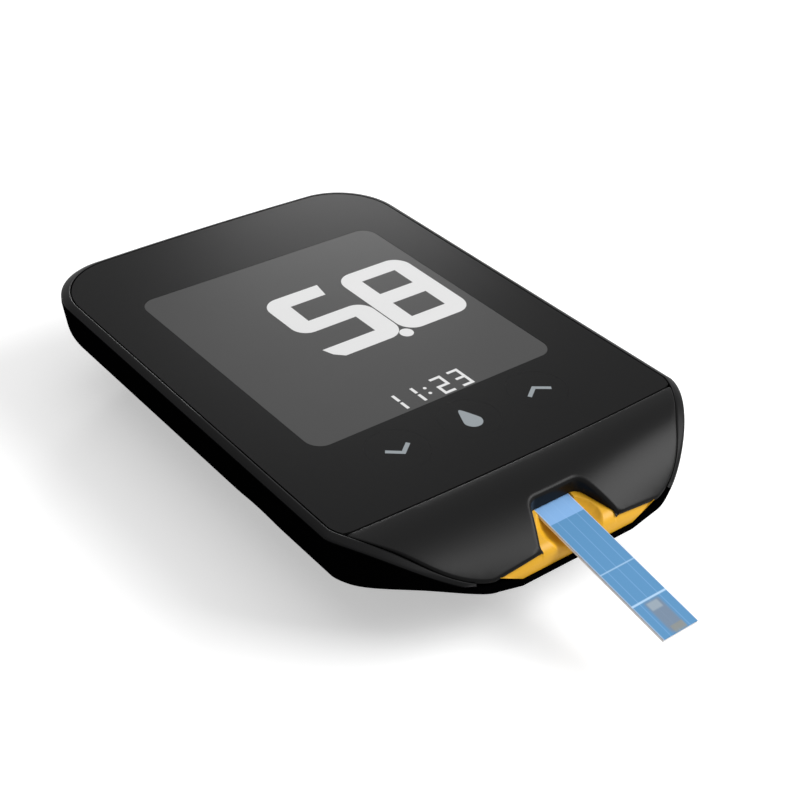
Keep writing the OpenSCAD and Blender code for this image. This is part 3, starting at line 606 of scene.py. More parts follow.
class Paints:
    """Makes the materials and the node groups that they share."""

    def __init__(self) -> None:
        """Build the shared groups."""
        self.made: dict[str, bpy.types.Material] = {}
        self.grain = self._grain_group()
        self.mottle = self._mottle_group()

    @staticmethod
    def _group(name: str, inputs: Iterable[tuple[str, str, float]],
               outputs: Iterable[tuple[str, str]]) -> tuple:
        """A new group with its sockets, and its input and output nodes."""
        group = bpy.data.node_groups.new(name, "ShaderNodeTree")
        for label, kind, value in inputs:
            socket = group.interface.new_socket(label, in_out="INPUT", socket_type=kind)
            if kind == "NodeSocketFloat":
                socket.default_value = value
        for label, kind in outputs:
            group.interface.new_socket(label, in_out="OUTPUT", socket_type=kind)
        kit = NodeKit(group)
        return group, kit, kit.add("NodeGroupInput"), kit.add("NodeGroupOutput")

    def _grain_group(self) -> bpy.types.NodeTree:
        """Fine moulded grain as a bumped normal."""
        group, kit, source, sink = self._group(
            "Moulded grain", [("Size", "NodeSocketFloat", 0.0003), ("Strength", "NodeSocketFloat", 0.1)],
            [("Normal", "NodeSocketVector")])
        place = kit.add("ShaderNodeTexCoord")
        noise = kit.add("ShaderNodeTexNoise", noise_dimensions="3D")
        kit.link(place.outputs["Object"], noise.inputs["Vector"])
        kit.link(kit.math("DIVIDE", 1.0, source.outputs["Size"]), noise.inputs["Scale"])
        noise.inputs["Detail"].default_value = 2.0
        bump = kit.add("ShaderNodeBump")
        bump.inputs["Distance"].default_value = 0.00002
        kit.link(source.outputs["Strength"], bump.inputs["Strength"])
        kit.link(noise.outputs["Fac"], bump.inputs["Height"])
        kit.link(bump.outputs["Normal"], sink.inputs["Normal"])
        return group

    def _mottle_group(self) -> bpy.types.NodeTree:
        """Slow change of shade and gloss over a piece, as a factor round 1."""
        group, kit, source, sink = self._group(
            "Slow mottle", [("Amount", "NodeSocketFloat", 0.1)], [("Shade", "NodeSocketFloat")])
        place = kit.add("ShaderNodeTexCoord")
        noise = kit.add("ShaderNodeTexNoise", noise_dimensions="3D")
        kit.link(place.outputs["Object"], noise.inputs["Vector"])
        noise.inputs["Scale"].default_value = 90.0
        noise.inputs["Detail"].default_value = 3.0
        offset = kit.math("SUBTRACT", noise.outputs["Fac"], 0.5)
        shade = kit.math("ADD", kit.math("MULTIPLY", offset, source.outputs["Amount"]), 1.0)
        kit.link(shade, sink.inputs["Shade"])
        return group

    def material(self, finish: Finish) -> bpy.types.Material:
        """The material of a finish, made once."""
        if finish.name not in self.made:
            self.made[finish.name] = self.build(finish)[0]
        return self.made[finish.name]

    def build(self, finish: Finish) -> tuple[bpy.types.Material, NodeKit, bpy.types.Node]:
        """A principled material with grain and mottle; returns it with its kit and shader."""
        material = bpy.data.materials.new(finish.name)
        material.use_nodes = True
        tree = material.node_tree
        kit = NodeKit(tree)
        shader = tree.nodes["Principled BSDF"]
        shader.inputs["Roughness"].default_value = finish.roughness
        shader.inputs["Metallic"].default_value = finish.metallic
        shader.inputs["Specular IOR Level"].default_value = finish.specular
        shader.inputs["Coat Weight"].default_value = finish.coat
        shader.inputs["Coat Roughness"].default_value = 0.12
        shader.inputs["Transmission Weight"].default_value = finish.clear
        mottle = kit.add("ShaderNodeGroup", node_tree=self.mottle)
        mottle.inputs["Amount"].default_value = finish.mottle
        shade = kit.add("ShaderNodeVectorMath", operation="SCALE")
        shade.inputs[0].default_value = finish.color
        kit.link(mottle.outputs["Shade"], shade.inputs["Scale"])
        kit.link(shade.outputs[0], shader.inputs["Base Color"])
        if finish.glow > 0:
            shader.inputs["Emission Color"].default_value = (*finish.color, 1.0)
            shader.inputs["Emission Strength"].default_value = finish.glow
        if finish.grain > 0:
            grain = kit.add("ShaderNodeGroup", node_tree=self.grain)
            grain.inputs["Size"].default_value = finish.grain_size
            grain.inputs["Strength"].default_value = finish.grain
            kit.link(grain.outputs["Normal"], shader.inputs["Normal"])
        if finish.brushed:
            self._brush(kit, shader, finish)
        return material, kit, shader

    @staticmethod
    def _brush(kit: NodeKit, shader: bpy.types.Node, finish: Finish) -> None:
        """Fine lines across a metal piece that change its gloss."""
        place = kit.add("ShaderNodeTexCoord")
        stretch = kit.add("ShaderNodeMapping")
        stretch.inputs["Scale"].default_value = (200.0, 9000.0, 200.0)
        noise = kit.add("ShaderNodeTexNoise", noise_dimensions="3D")
        noise.inputs["Scale"].default_value = 1.0
        kit.link(place.outputs["Object"], stretch.inputs["Vector"])
        kit.link(stretch.outputs["Vector"], noise.inputs["Vector"])
        spread = kit.math("MULTIPLY", kit.math("SUBTRACT", noise.outputs["Fac"], 0.5), 0.25)
        kit.link(kit.math("ADD", spread, finish.roughness), shader.inputs["Roughness"])


class Palette:
    """The finishes of this meter."""

    SHELL = Finish("Housing black", (0.0008, 0.0008, 0.0009), 0.5, specular=0.0, grain=0.25,
                   grain_size=0.00022)
    BEZEL = Finish("Bezel satin", (0.008, 0.008, 0.0083), 0.3, specular=0.06, grain=0.05)
    # Painted highlight: a paler colour for the bezel's up-facing top edge.
    BEZEL_TOP_HIGHLIGHT = (0.03, 0.03, 0.031)
    CHIN = Finish("Chin satin", (0.002, 0.002, 0.0021), 0.3, specular=0.11, grain=0.06, grain_size=0.00015)
    PANEL = Finish("Panel film", (0.0095, 0.0095, 0.0097), 0.28, specular=0.03, grain=0.08, grain_size=0.0001)
    PANE = Finish("Display pane", (0.075, 0.075, 0.075), 0.27, specular=0.03, grain=0.03)
    DIGIT = Finish("Lit digits", (0.5, 0.5, 0.5), 0.5, specular=0.1, glow=0.5)
    MARK = Finish("Silver marks", (0.26, 0.29, 0.31), 0.45, specular=0.2)
    YELLOW = Finish("Port yellow", (0.8, 0.42, 0.02), 0.4, specular=0.3, grain=0.05)
    STRIP_EDGE = Finish("Strip base film", (0.93, 0.91, 0.9), 0.5)
    FOAM = Finish("Gasket foam", (0.02, 0.02, 0.02), 0.9, grain=0.9, grain_size=0.0003)
    GLASS = Finish("Display glass", (0.25, 0.27, 0.27), 0.08, coat=0.6)
    GUIDE = Finish("Light guide", (0.85, 0.88, 0.9), 0.15, clear=0.4)
    FRAME = Finish("Frame white", (0.72, 0.73, 0.73), 0.5, grain=0.1)
    ELASTOMER = Finish("Striped silicone", (0.55, 0.2, 0.3), 0.6)
    BOARD = Finish("Board green", (0.015, 0.11, 0.05), 0.35, coat=0.3, mottle=0.4)
    CHIP = Finish("Chip epoxy", (0.02, 0.02, 0.022), 0.6, grain=0.4, grain_size=0.0001)
    SPRING = Finish("Spring steel", (0.6, 0.6, 0.6), 0.25, metallic=1.0, brushed=True)
    CONNECTOR = Finish("Connector black", (0.025, 0.025, 0.027), 0.55, grain=0.3)
    GOLD = Finish("Contact gold", (0.83, 0.6, 0.22), 0.22, metallic=1.0)
    CELL = Finish("Nickelled can", (0.6, 0.61, 0.63), 0.2, metallic=1.0, brushed=True)
    SCREW = Finish("Dark zinc", (0.12, 0.12, 0.125), 0.35, metallic=1.0)
    SOCKET = Finish("Plated shell", (0.6, 0.61, 0.62), 0.28, metallic=1.0, brushed=True)


# ---- Pieces --------------------------------------------------------------------------
class Workshop:
    """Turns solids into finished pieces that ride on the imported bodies."""

    def __init__(self, paints: Paints) -> None:
        """Use these paints."""
        self.paints = paints

    def piece(self, name: str, solid: Solid, finish: Finish, body: Body, slot: str,
              replaces: Sequence[str] = (), angle: float = 32.0) -> bpy.types.Object:
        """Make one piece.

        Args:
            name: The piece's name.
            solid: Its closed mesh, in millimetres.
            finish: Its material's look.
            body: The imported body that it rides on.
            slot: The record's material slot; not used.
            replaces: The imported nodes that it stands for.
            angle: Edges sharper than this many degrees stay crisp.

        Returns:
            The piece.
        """
        mesh = solid.mesh(name)
        mesh.materials.append(self.paints.material(finish))
        mesh.shade_smooth()
        mesh.set_sharp_from_angle(angle=math.radians(angle))
        obj = bpy.data.objects.new(name, mesh)
        bpy.context.scene.collection.objects.link(obj)
        self.settle(obj, body, slot, replaces)
        LOG.info("%s: %d faces", name, len(mesh.polygons))
        return obj

    @staticmethod
    def settle(obj: bpy.types.Object, body: Body, slot: str, replaces: Sequence[str] = ()) -> None:
        """Put a finished object on its body, and hide the imported nodes that it stands for."""
        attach(obj, body.value)
        if replaces:
            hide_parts(*replaces)

    @staticmethod
    def carry_normals(obj: bpy.types.Object, source: Solid, reach: float = 0.004) -> None:
        """Give a cut piece the smooth normals of the surface that it was cut from.

        Args:
            obj: The cut piece.
            source: The uncut surface, in millimetres.
            reach: Distance in millimetres within which a corner counts as lying on it.
        """
        plain = source.mesh("normals")
        plain.shade_smooth()
        tree = BVHTree.FromPolygons([v.co for v in plain.vertices],
                                    [tuple(p.vertices) for p in plain.polygons])
        smooth_normals = [v.normal.copy() for v in plain.vertices]
        mesh = obj.data
        corners = [c.vector.copy() for c in mesh.corner_normals]
        for face in mesh.polygons:
            hits = [tree.find_nearest(mesh.vertices[i].co) for i in face.vertices]
            if any(h[0] is None or h[3] > reach * MM or face.normal.dot(h[1]) < 0.9 for h in hits):
                continue
            for corner, hit in zip(face.loop_indices, hits):
                ring = plain.polygons[hit[2]].vertices
                spots = [plain.vertices[i].co for i in ring]
                weights = [1 / max((s - hit[0]).length, 1e-7) ** 2 for s in spots]
                total = Vector((0, 0, 0))
                for w, i in zip(weights, ring):
                    total += smooth_normals[i] * w
                corners[corner] = total.normalized()
        mesh.normals_split_custom_set([tuple(c) for c in corners])
        bpy.data.meshes.remove(plain)


@dataclass
class RowOfCopies:
    """A geometry node tree that repeats a mesh along a line."""

    workshop: Workshop

    def __post_init__(self) -> None:
        """Build the tree once."""
        tree = bpy.data.node_groups.new("Row of copies", "GeometryNodeTree")
        sockets = tree.interface
        sockets.new_socket("Geometry", in_out="INPUT", socket_type="NodeSocketGeometry")
        sockets.new_socket("Count", in_out="INPUT", socket_type="NodeSocketInt")
        sockets.new_socket("Start", in_out="INPUT", socket_type="NodeSocketVector")
        sockets.new_socket("Step", in_out="INPUT", socket_type="NodeSocketVector")
        sockets.new_socket("Material", in_out="INPUT", socket_type="NodeSocketMaterial")
        sockets.new_socket("Geometry", in_out="OUTPUT", socket_type="NodeSocketGeometry")
        kit = NodeKit(tree)
        source, sink = kit.add("NodeGroupInput"), kit.add("NodeGroupOutput")
        line = kit.add("GeometryNodeMeshLine", mode="OFFSET")
        kit.link(source.outputs["Count"], line.inputs["Count"])
        kit.link(source.outputs["Start"], line.inputs["Start Location"])
        kit.link(source.outputs["Step"], line.inputs["Offset"])
        copies = kit.add("GeometryNodeInstanceOnPoints")
        kit.link(line.outputs["Mesh"], copies.inputs["Points"])
        kit.link(source.outputs["Geometry"], copies.inputs["Instance"])
        real = kit.add("GeometryNodeRealizeInstances")
        kit.link(copies.outputs[0], real.inputs[0])
        paint = kit.add("GeometryNodeSetMaterial")
        kit.link(real.outputs[0], paint.inputs["Geometry"])
        kit.link(source.outputs["Material"], paint.inputs["Material"])
        kit.link(paint.outputs[0], sink.inputs[0])
        self.tree = tree

    def repeat(self, solid: Solid, count: int, start: Sequence[float], step: Sequence[float],
               finish: Finish) -> Solid:
        """The solid repeated along a line.

        Args:
            solid: What is repeated, in millimetres.
            count: How many copies.
            start: Place of the first copy, in millimetres.
            step: Distance from each copy to the next, in millimetres.
            finish: The copies' look.

        Returns:
            All the copies as one solid.
        """
        holder = bpy.data.objects.new("copies", solid.mesh("copies"))
        bpy.context.scene.collection.objects.link(holder)
        modifier = holder.modifiers.new("copies", "NODES")
        modifier.node_group = self.tree
        values = {"Count": count, "Start": [v * MM for v in start], "Step": [v * MM for v in step],
                  "Material": self.workshop.paints.material(finish)}
        for item in self.tree.interface.items_tree:
            if item.in_out == "INPUT" and item.name in values:
                modifier[item.identifier] = values[item.name]
        graph = bpy.context.evaluated_depsgraph_get()
        made = bpy.data.meshes.new_from_object(holder.evaluated_get(graph), depsgraph=graph)
        points = np.empty(len(made.vertices) * 3)
        made.vertices.foreach_get("co", points)
        result = Solid(points.reshape(-1, 3) / MM, [tuple(p.vertices) for p in made.polygons])
        old = [holder.data, made]
        bpy.data.objects.remove(holder)
        for m in old:
            bpy.data.meshes.remove(m)
        return result


@dataclass
class BackShell:
    """The moulded underside with its wall, bay, ledges, screw holes and grip scoops."""

    form: HousingForm
    under: Underside
    workshop: Workshop
    copies: RowOfCopies
    scoop_place: Point2 = (-12.6, 7.1)
    scoop_size: Point2 = (5.4, 2.1)
    scoop_depth: float = 0.5
    door_w: float = 24.0
    door_t: float = 1.2
    cell_y: float = 13.3
    bay_r: float = 10.25
    screw_far: Point2 = (17.0, 32.5)
    screw_near: Point2 = (15.5, -27.2)

    def surface(self) -> list[np.ndarray]:
        """The outer rings with the grip scoops pressed in."""
        rings = self.under.rings(0.0)
        for ring in rings:
            along = (ring[:, 1] - self.scoop_place[0]) / self.scoop_size[0]
            up = (ring[:, 2] - self.scoop_place[1]) / self.scoop_size[1]
            reach = np.sqrt(along ** 2 + up ** 2)
            dent = self.scoop_depth * (1 - smooth(reach))
            side = np.abs(ring[:, 0]) > self.form.half_w * 0.6
            ring[:, 0] -= np.sign(ring[:, 0]) * np.where(side, dent, 0.0)
        return rings

    def shell(self) -> Solid:
        """The bare shell: outer and inner surface joined round the edge."""
        outer, inner = self.surface(), self.under.rings(self.form.wall)
        rings = inner[::-1] + outer
        return Shapes.loft(rings)

    def extras(self) -> Solid:
        """What stands up inside: the floor's thick band, the bay's wall and the screw bosses."""
        f = self.form
        keep = Shapes.loft([np.column_stack([r[:, 0], r[:, 1], r[:, 2]]) for r in self._inside(f.wall / 2)])
        ledge = Shapes.box((-14.0, self.cell_y - 17.0, 0.0), (14.0, f.far_y, 2.4))
        bay = Shapes.disc(0.0, self.cell_y, self.bay_r + 1.2, 0.0, 5.6, steps=96)
        block = ledge | bay
        for x, y in self.screws():
            block = block | Shapes.disc(x, y, 2.2, 0.0, 8.9, steps=32)
        return block & keep

    def _inside(self, inward: float) -> list[np.ndarray]:
        """Rings of a solid that fills the shell up past its edge."""
        rings = self.under.rings(inward)
        top = rings[0].copy()
        top[:, 2] = self.form.height
        return [top] + rings

    def screws(self) -> list[Point2]:
        """Places of the four screws."""
        return [(s * x, y) for x, y in (self.screw_far, self.screw_near) for s in (1, -1)]

    def build(self) -> bpy.types.Object:
        """Cut the shell and make the piece."""
        f = self.form
        bare = self.shell()
        solid = bare | self.extras()
        near = self.cell_y - 15.0
        door = self.door_w / 2
        solid = solid - Shapes.box((-door, near, -1.0), (door, f.far_y + 5, self.door_t))
        runner = self.door_w / 2 + 0.8
        solid = solid - Shapes.box((-runner, near, self.door_t - 0.7), (runner, f.far_y + 5, self.door_t))
        bay = Shapes.disc(0.0, self.cell_y, self.bay_r, 0.1, 4.8, steps=96)
        bay = bay | Shapes.box((-2.2, self.cell_y - 4, 3.0), (2.2, self.cell_y + 3.5, 7.0))
        bay = bay | Shapes.box((-2.2, self.cell_y - 11.85, 2.4), (2.2, self.cell_y - 9.05, 12.0))
        mouth = Shapes.prism(Shapes.rectangle(8.1, 3.0, 1.0), 0.0, 3.4)
        upright = Matrix.Translation((0.0, f.far_y + 1.0, 9.9 + 1.3)) @ Matrix.Rotation(math.pi / 2, 4, "X")
        tools = bay.beside(mouth.turned(upright))
        for x, y in self.screws():
            bore = Shapes.disc(x, y, 1.0, -1.0, 12.0, steps=32) | Shapes.disc(x, y, 1.8, -1.0, 6.3, steps=48)
            tools = tools.beside(bore)
        solid = solid - tools
        obj = self.workshop.piece("back_shell_moulding", solid, Palette.SHELL, Body.HOUSING, "housing_black",
                                  ["back_shell"], angle=40)
        self.workshop.carry_normals(obj, bare)
        self._fit_screws()
        return obj

    def _fit_screws(self) -> None:
        """The four screws, repeated in two rows."""
        head = Shapes.disc(0.0, 0.0, 1.55, 5.3, 6.3, steps=40)
        head = head | Shapes.disc(0.0, 0.0, 0.75, 6.2, 12.4, steps=24)
        for a, b in ((0.9, 0.2), (0.2, 0.9)):
            head = head - Shapes.box((-a, -b, 4.0), (a, b, 5.8))
        rows = None
        for x, y in (self.screw_far, self.screw_near):
            row = self.copies.repeat(head, 2, (-x, y, 0.0), (2 * x, 0.0, 0.0), Palette.SCREW)
            rows = row if rows is None else rows.beside(row)
        self.workshop.piece("housing_screw_set", rows, Palette.SCREW, Body.HOUSING, "screw_steel",
                            ["housing_screws"])


@dataclass
class Bezel:
    """The thin band round the front, and the deck inside it."""

    form: HousingForm
    workshop: Workshop
    start_angle: float = 74.0

    def width(self, weight: Values) -> Values:
        """Width of the band, which narrows towards its two ends."""
        return mix(self.form.bezel_w, 0.34, smooth((weight - 0.3) / 0.65))

    def line(self, share: float) -> np.ndarray:
        """A line that runs along the band, at a share of its width."""
        f = self.form
        wide, narrow = f.inset(f.bezel_w * share), f.inset(0.34 * share)
        rim = f.inset(0.0)
        t = smooth((rim[:, 2] - 0.3) / 0.65)[:, None]
        return mix(wide, narrow, t)

    def band(self) -> Solid:
        """The band as a loft of sections along the outline."""
        f = self.form
        rim = f.inset(0.0)
        x, y = rim[:, 0], rim[:, 1]
        height = f.band_height(x, y)
        for k in range(f.nose_steps + 1, f.nose_steps + f.near_steps):
            share = mix(0.2, 1.0, smooth((self.start_angle - self._angle(k)) / 9))
            height[k] *= share
            height[-k] *= share
        top = f.front(x, y)
        section = [(1.0, -1.0, 0.0), (0.0, -1.0, 0.0), (0.0, 0.0, -0.62), (0.015, 0.0, -0.52),
                   (0.06, 0.0, -0.43), (0.14, 0.0, -0.35), (0.26, 0.0, -0.27), (0.4, 0.0, -0.19),
                   (0.55, 0.0, -0.115), (0.68, 0.0, -0.055), (0.78, 0.0, -0.015), (0.84, 0.0, 0.0),
                   (0.95, 0.0, 0.0), (1.0, 0.0, -0.05)]
        first = next(k for k in range(len(rim)) if k > f.nose_steps and self._angle(k) <= self.start_angle)
        path = range(first, len(rim) - first + 1)
        lines = [self.line(share) for share, _, _ in section]
        rings = []
        for k in path:
            rings.append(np.array([(lines[j][k, 0], lines[j][k, 1],
                                    top[k] + (-height[k] if down < 0 else max(drop, -height[k] * 0.8)))
                                   for j, (_, down, drop) in enumerate(section)]))
        return Shapes.loft(rings)

    def _angle(self, k: int) -> float:
        """Angle of a near corner's point, in degrees from the side."""
        return 90 - 90 * (k - self.form.nose_steps - 1) / self.form.near_steps

    def deck(self) -> Solid:
        """The deck under the panel, with its openings, and the tongue that enters the back shell."""
        f = self.form
        h = f.height
        plan = f.inset(f.bezel_w - 0.05)
        inner = f.inset(1.75)
        near = Shapes.box((-f.half_w, f.nose_y - 1, 0.0), (f.half_w, f.nose_y + f.chin_run - 0.6, h + 1))
        deck = Shapes.prism(plan, h - f.bezel_h, h - f.panel_t) | Shapes.prism(inner, h - 1.6, h - f.panel_t)
        deck = deck - near
        deck = deck - Shapes.box((-f.half_w, f.nose_y, h - 0.9), (f.half_w, f.nose_y + 11.4, h + 1))
        tongue = Shapes.prism(inner, h - 2.5, h - 1.3) - Shapes.prism(f.inset(2.5), h - 3, h)
        tongue = tongue - Shapes.box((-f.half_w, f.nose_y - 1, 0), (f.half_w, f.nose_y + 19.8, h))
        deck = deck | tongue
        for x, y in ((17.0, 32.5), (-17.0, 32.5), (15.5, -27.2), (-15.5, -27.2)):
            deck = deck | Shapes.disc(x, y, 2.2, 9.9, h - 0.9, steps=32)
        deck = deck - Shapes.prism(Shapes.rectangle(41.36, 41.4, 0.6, 0, 6.25), 0, h + 1)
        for x in (-10.9, 0.0, 10.9):
            deck = deck - Shapes.disc(x, -19.1, 4.75, 0, h + 1, steps=48)
        deck = deck - Shapes.box((-5.3, f.nose_y, 0.0), (5.3, f.nose_y + 14.3, h + 1))
        return deck - Shapes.box((-4.4, f.far_y - 8, 0.0), (4.4, f.far_y + 1, 12.6))

    def build(self) -> bpy.types.Object:
        """Make the piece."""
        solid = self.band().beside(self.deck())
        obj = self.workshop.piece("bezel_band", solid, Palette.BEZEL, Body.HOUSING, "bezel_black",
                                  ["front_bezel"], angle=45)
        obj.data.materials[0] = self._painted_facing_light()
        return obj

    def _painted_facing_light(self) -> bpy.types.Material:
        """The bezel's finish with painted light by facing: a painted highlight makes faces that point up
        paler along the top edge, and painted shade makes the wall as dark as the shell, without sheen.
        """
        material, kit, shader = self.workshop.paints.build(Palette.BEZEL)
        geometry_node = kit.add("ShaderNodeNewGeometry")
        split = kit.add("ShaderNodeSeparateXYZ")
        kit.link(geometry_node.outputs["True Normal"], split.inputs[0])
        # Painted highlight: faces that point straight up get the paler top-edge colour.
        level = kit.add("ShaderNodeMapRange", interpolation_type="SMOOTHSTEP")
        kit.link(split.outputs["Z"], level.inputs["Value"])
        level.inputs["From Min"].default_value = 0.975
        level.inputs["From Max"].default_value = 0.998
        color = kit.blend(level.outputs["Result"], Palette.BEZEL.color, Palette.BEZEL_TOP_HIGHLIGHT)
        # Painted shade: faces that turn to the side get the shell's black and lose their sheen.
        sloped = kit.add("ShaderNodeMapRange", interpolation_type="SMOOTHSTEP")
        kit.link(split.outputs["Z"], sloped.inputs["Value"])
        sloped.inputs["From Min"].default_value = 0.1
        sloped.inputs["From Max"].default_value = 0.35
        kit.link(kit.blend(sloped.outputs["Result"], Palette.SHELL.color, color), shader.inputs["Base Color"])
        shine = kit.math("MULTIPLY", sloped.outputs["Result"], Palette.BEZEL.specular)
        kit.link(shine, shader.inputs["Specular IOR Level"])
        return material


@dataclass
class ChinCover:
    """The curved cover between the panel and the nose, with the notch for the strip."""

    form: HousingForm
    bezel: Bezel
    workshop: Workshop
    notch_roll: float = 0.5
    edge_roll: float = 0.15
    wall: float = 0.7
    step: float = 0.7

    def rim(self) -> np.ndarray:
        """Outer edge of the cover, from the notch's right mouth round the seam to its left mouth."""
        f = self.form
        wide, narrow = f.inset(f.bezel_w + f.seam_gap), f.inset(0.4)
        t = smooth((wide[:, 2] - 0.3) / 0.65)[:, None]
        line = mix(wide, narrow, t)[:, :2]
        half = line[: f.nose_steps + f.near_steps + f.side_steps]
        right = half[half[:, 0] > f.notch_mouth + 0.05]
        right = right[right[:, 1] < f.seam(right[:, 0]) - f.seam_gap - 0.05]
        right = np.vstack([[f.notch_mouth, right[0, 1]], right])
        seam_x = np.linspace(float(right[-1, 0]) + 0.02, 0.0, 36)
        seam = np.column_stack([seam_x, f.seam(seam_x) - f.seam_gap])
        return np.vstack([right, seam, (seam[:-1] * [-1, 1])[::-1], (right * [-1, 1])[::-1]])

    def boundary(self) -> np.ndarray:
        """Outline of the cover, with the notch, counter-clockwise from the right mouth's front."""
        rim = self.rim()
        mouth = self.form.notch(0.0)
        mouth = mouth[mouth[:, 1] > rim[0, 1] + 0.05]
        return np.vstack([rim, mouth[::-1]])

    @staticmethod
    def inward(line: np.ndarray, depth: float) -> np.ndarray:
        """A line moved to its left by a small depth."""
        way = np.gradient(line, axis=0)
        way /= np.linalg.norm(way, axis=1)[:, None]
        return line + depth * np.column_stack([-way[:, 1], way[:, 0]])

    @staticmethod
    def distance(line: np.ndarray, x: Values, y: Values) -> np.ndarray:
        """Distance from points to a line of straight runs."""
        a, b = line[:-1], line[1:]
        p = np.column_stack([np.atleast_1d(x), np.atleast_1d(y)])
        d = b - a
        t = np.clip(np.einsum("pij,ij->pi", p[:, None, :] - a[None], d) / np.sum(d * d, 1), 0, 1)
        spot = a[None] + t[..., None] * d[None]
        return np.min(np.linalg.norm(p[:, None, :] - spot, axis=2), 1)

    def notch_distance(self, x: Values, y: Values) -> Values:
        """Distance outside the notch's outline."""
        return self.distance(self.form.notch(0.0, steps=28), x, y)

    def top(self, x: Values, y: Values) -> Values:
        """Height of the outer surface, rolled over at the notch and at the outer edge."""
        level = self.form.front(x, y) - roll_off(self.notch_distance(x, y), self.notch_roll)
        return level - roll_off(self.distance(self.rim(), x, y), self.edge_roll)

    def bottom(self, x: Values, y: Values) -> Values:
        """Height of the inner surface, which drops round the notch to the port's insert."""
        f = self.form
        level = f.front(x, y) - f.chin_thickness(x, y)
        skirt = self.notch_distance(x, y) < self.wall + 0.01
        down = f.port_level(y) + 0.05
        return np.where(skirt, np.minimum(down, level), level)

    def build(self) -> bpy.types.Object:
        """Make the piece."""
        f = self.form
        outline = self.boundary()
        lines = []
        for grow in (0.03, 0.09, 0.17, 0.27, 0.38, 0.5, self.wall, self.wall + 0.03):
            run = f.notch(grow)
            lines.append(run[run[:, 1] > f.nose_y + 0.6])
        rim = self.rim()
        lines += [self.inward(rim, depth)[1:-1] for depth in (0.02, 0.06, 0.1, self.edge_roll)]
        solid = Shapes.plate([outline], lines, self.top, self.bottom, self.step)
        obj = self.workshop.piece("chin_moulding", solid, Palette.CHIN, Body.HOUSING, "chin_black",
                                  ["chin_cover"], angle=50)
        return obj


@dataclass
class FrontPanel:
    """The flat panel, its window pane and the lit figures on it."""

    form: HousingForm
    workshop: Workshop
    window: tuple[float, float, float] = (37.7, 39.54, 2.2)
    window_y: float = 5.92
    key_xs: tuple[float, ...] = (-10.9, 0.0, 10.9)
    key_y: float = -19.1
    pane_drop: float = 0.02
    groove: float = 0.1
    figure_top: float = 14.592

    def panel_outline(self) -> np.ndarray:
        """Outline of the panel up to its near seam."""
        f = self.form
        line = f.inset(f.bezel_w + f.seam_gap + self.groove)[:, :2]
        count = f.nose_steps + f.near_steps + f.side_steps + f.far_steps + f.edge_steps + 1
        half = line[:count]
        near = f.seam(half[:, 0]) + self.groove
        right = half[(half[:, 1] > near + 0.03) & (half[:, 0] > 1e-6)]
        seam_x = np.linspace(-right[0, 0], right[0, 0], 61)
        seam = np.column_stack([seam_x, f.seam(seam_x) + self.groove])
        top = half[-1:]
        return np.vstack([seam[1:-1], right, top, (right * [-1, 1])[::-1]])

    def build(self) -> None:
        """Make the panel, the pane and the figures."""
        f = self.form
        low, high = f.height - f.panel_t, f.height
        panel = Shapes.prism(self.panel_outline(), low, high)
        hole = Shapes.rectangle(*self.window, y=self.window_y)
        panel = panel - Shapes.prism(hole, low - 1, high + 1)
        for x in self.key_xs:
            panel = panel - Shapes.disc(x, self.key_y, 3.9, low - 1, high + 1, steps=96)
        self.workshop.piece("front_panel_film", panel, Palette.PANEL, Body.HOUSING, "panel_grey",
                            ["front_panel"])
        w, length, r = self.window
        pane = Shapes.prism(Shapes.rectangle(w - 0.06, length - 0.06, r - 0.03, y=self.window_y), low,
                            high - self.pane_drop)
        self.workshop.piece("window_pane", pane, Palette.PANE, Body.HOUSING, "window", ["display_window"])
        self._figures()

    def _figures(self) -> None:
        """The reading and the clock, as thin lit shapes in the pane."""
        far = self.form.far_y
        low, high = self.figure_top - 0.05, self.figure_top

        def place(points: Iterable[Sequence[float]]) -> list[tuple[float, ...]]:
            """Points measured from the far end, moved to the panel's frame."""
            return [(0.988 * p[0], 0.9934 * (p[1] + far) - 0.29, *p[2:]) for p in points]

        five = place([(3.38, -22.4, 0), (-6.0, -22.4, 2.4), (-6.0, -31.9, 2.2), (2.83, -31.89, 0),
                      (2.84, -36.03, 0), (-5.65, -36.02, 0), (-5.1, -37.6, 0.6), (-3.91, -38.72, 0),
                      (6.0, -38.72, 2.5), (6.0, -29.3, 2.4), (-2.98, -29.3, 0), (-2.88, -25.08, 0),
                      (2.87, -25.08, 0)])
        solid = Shapes.prism(Shapes.rounded(five), low, high)
        eight = place([(17.6, -38.7, 2.5), (17.6, -22.45, 2.5), (6.2, -22.45, 2.5), (6.2, -38.7, 2.5)])
        other = Shapes.prism(Shapes.rounded(eight), low, high)
        for top, bottom in ((-25.1, -29.15), (-31.9, -36.0)):
            hole = place([(14.74, bottom, 0), (14.74, top, 0), (9.05, top, 0), (9.05, bottom, 0)])
            other = other - Shapes.prism(hole, low - 1, high + 1)
        solid = solid.beside(other)
        solid = solid.beside(Shapes.disc(*place([(5.91, -38.77)])[0], 0.95, low, high, steps=32))
        clock = [
            [(-4.72, -49.2), (-4.72, -50.6)], [(-4.72, -50.95), (-4.72, -52.4)],
            [(-1.85, -49.2), (-1.85, -50.45)], [(-1.85, -50.8), (-1.85, -52.3)],
            [(1.15, -49.2), (2.72, -49.2), (2.72, -50.95), (1.2, -50.95), (1.2, -52.42), (2.75, -52.42)],
            [(4.0, -49.18), (5.52, -49.18), (5.52, -52.42), (4.0, -52.42)], [(4.1, -50.85), (5.3, -50.85)],
        ]
        for line in clock:
            ribbon = Shapes.prism(Shapes.stroke(place(line), 0.42), low, high)
            solid = solid.beside(ribbon)
        for x, y in ((-0.36, -50.15), (-0.45, -51.35)):
            solid = solid.beside(Shapes.disc(*place([(x, y)])[0], 0.24, low, high, steps=16))
        self.workshop.piece("lit_figures", solid, Palette.DIGIT, Body.HOUSING, "window")


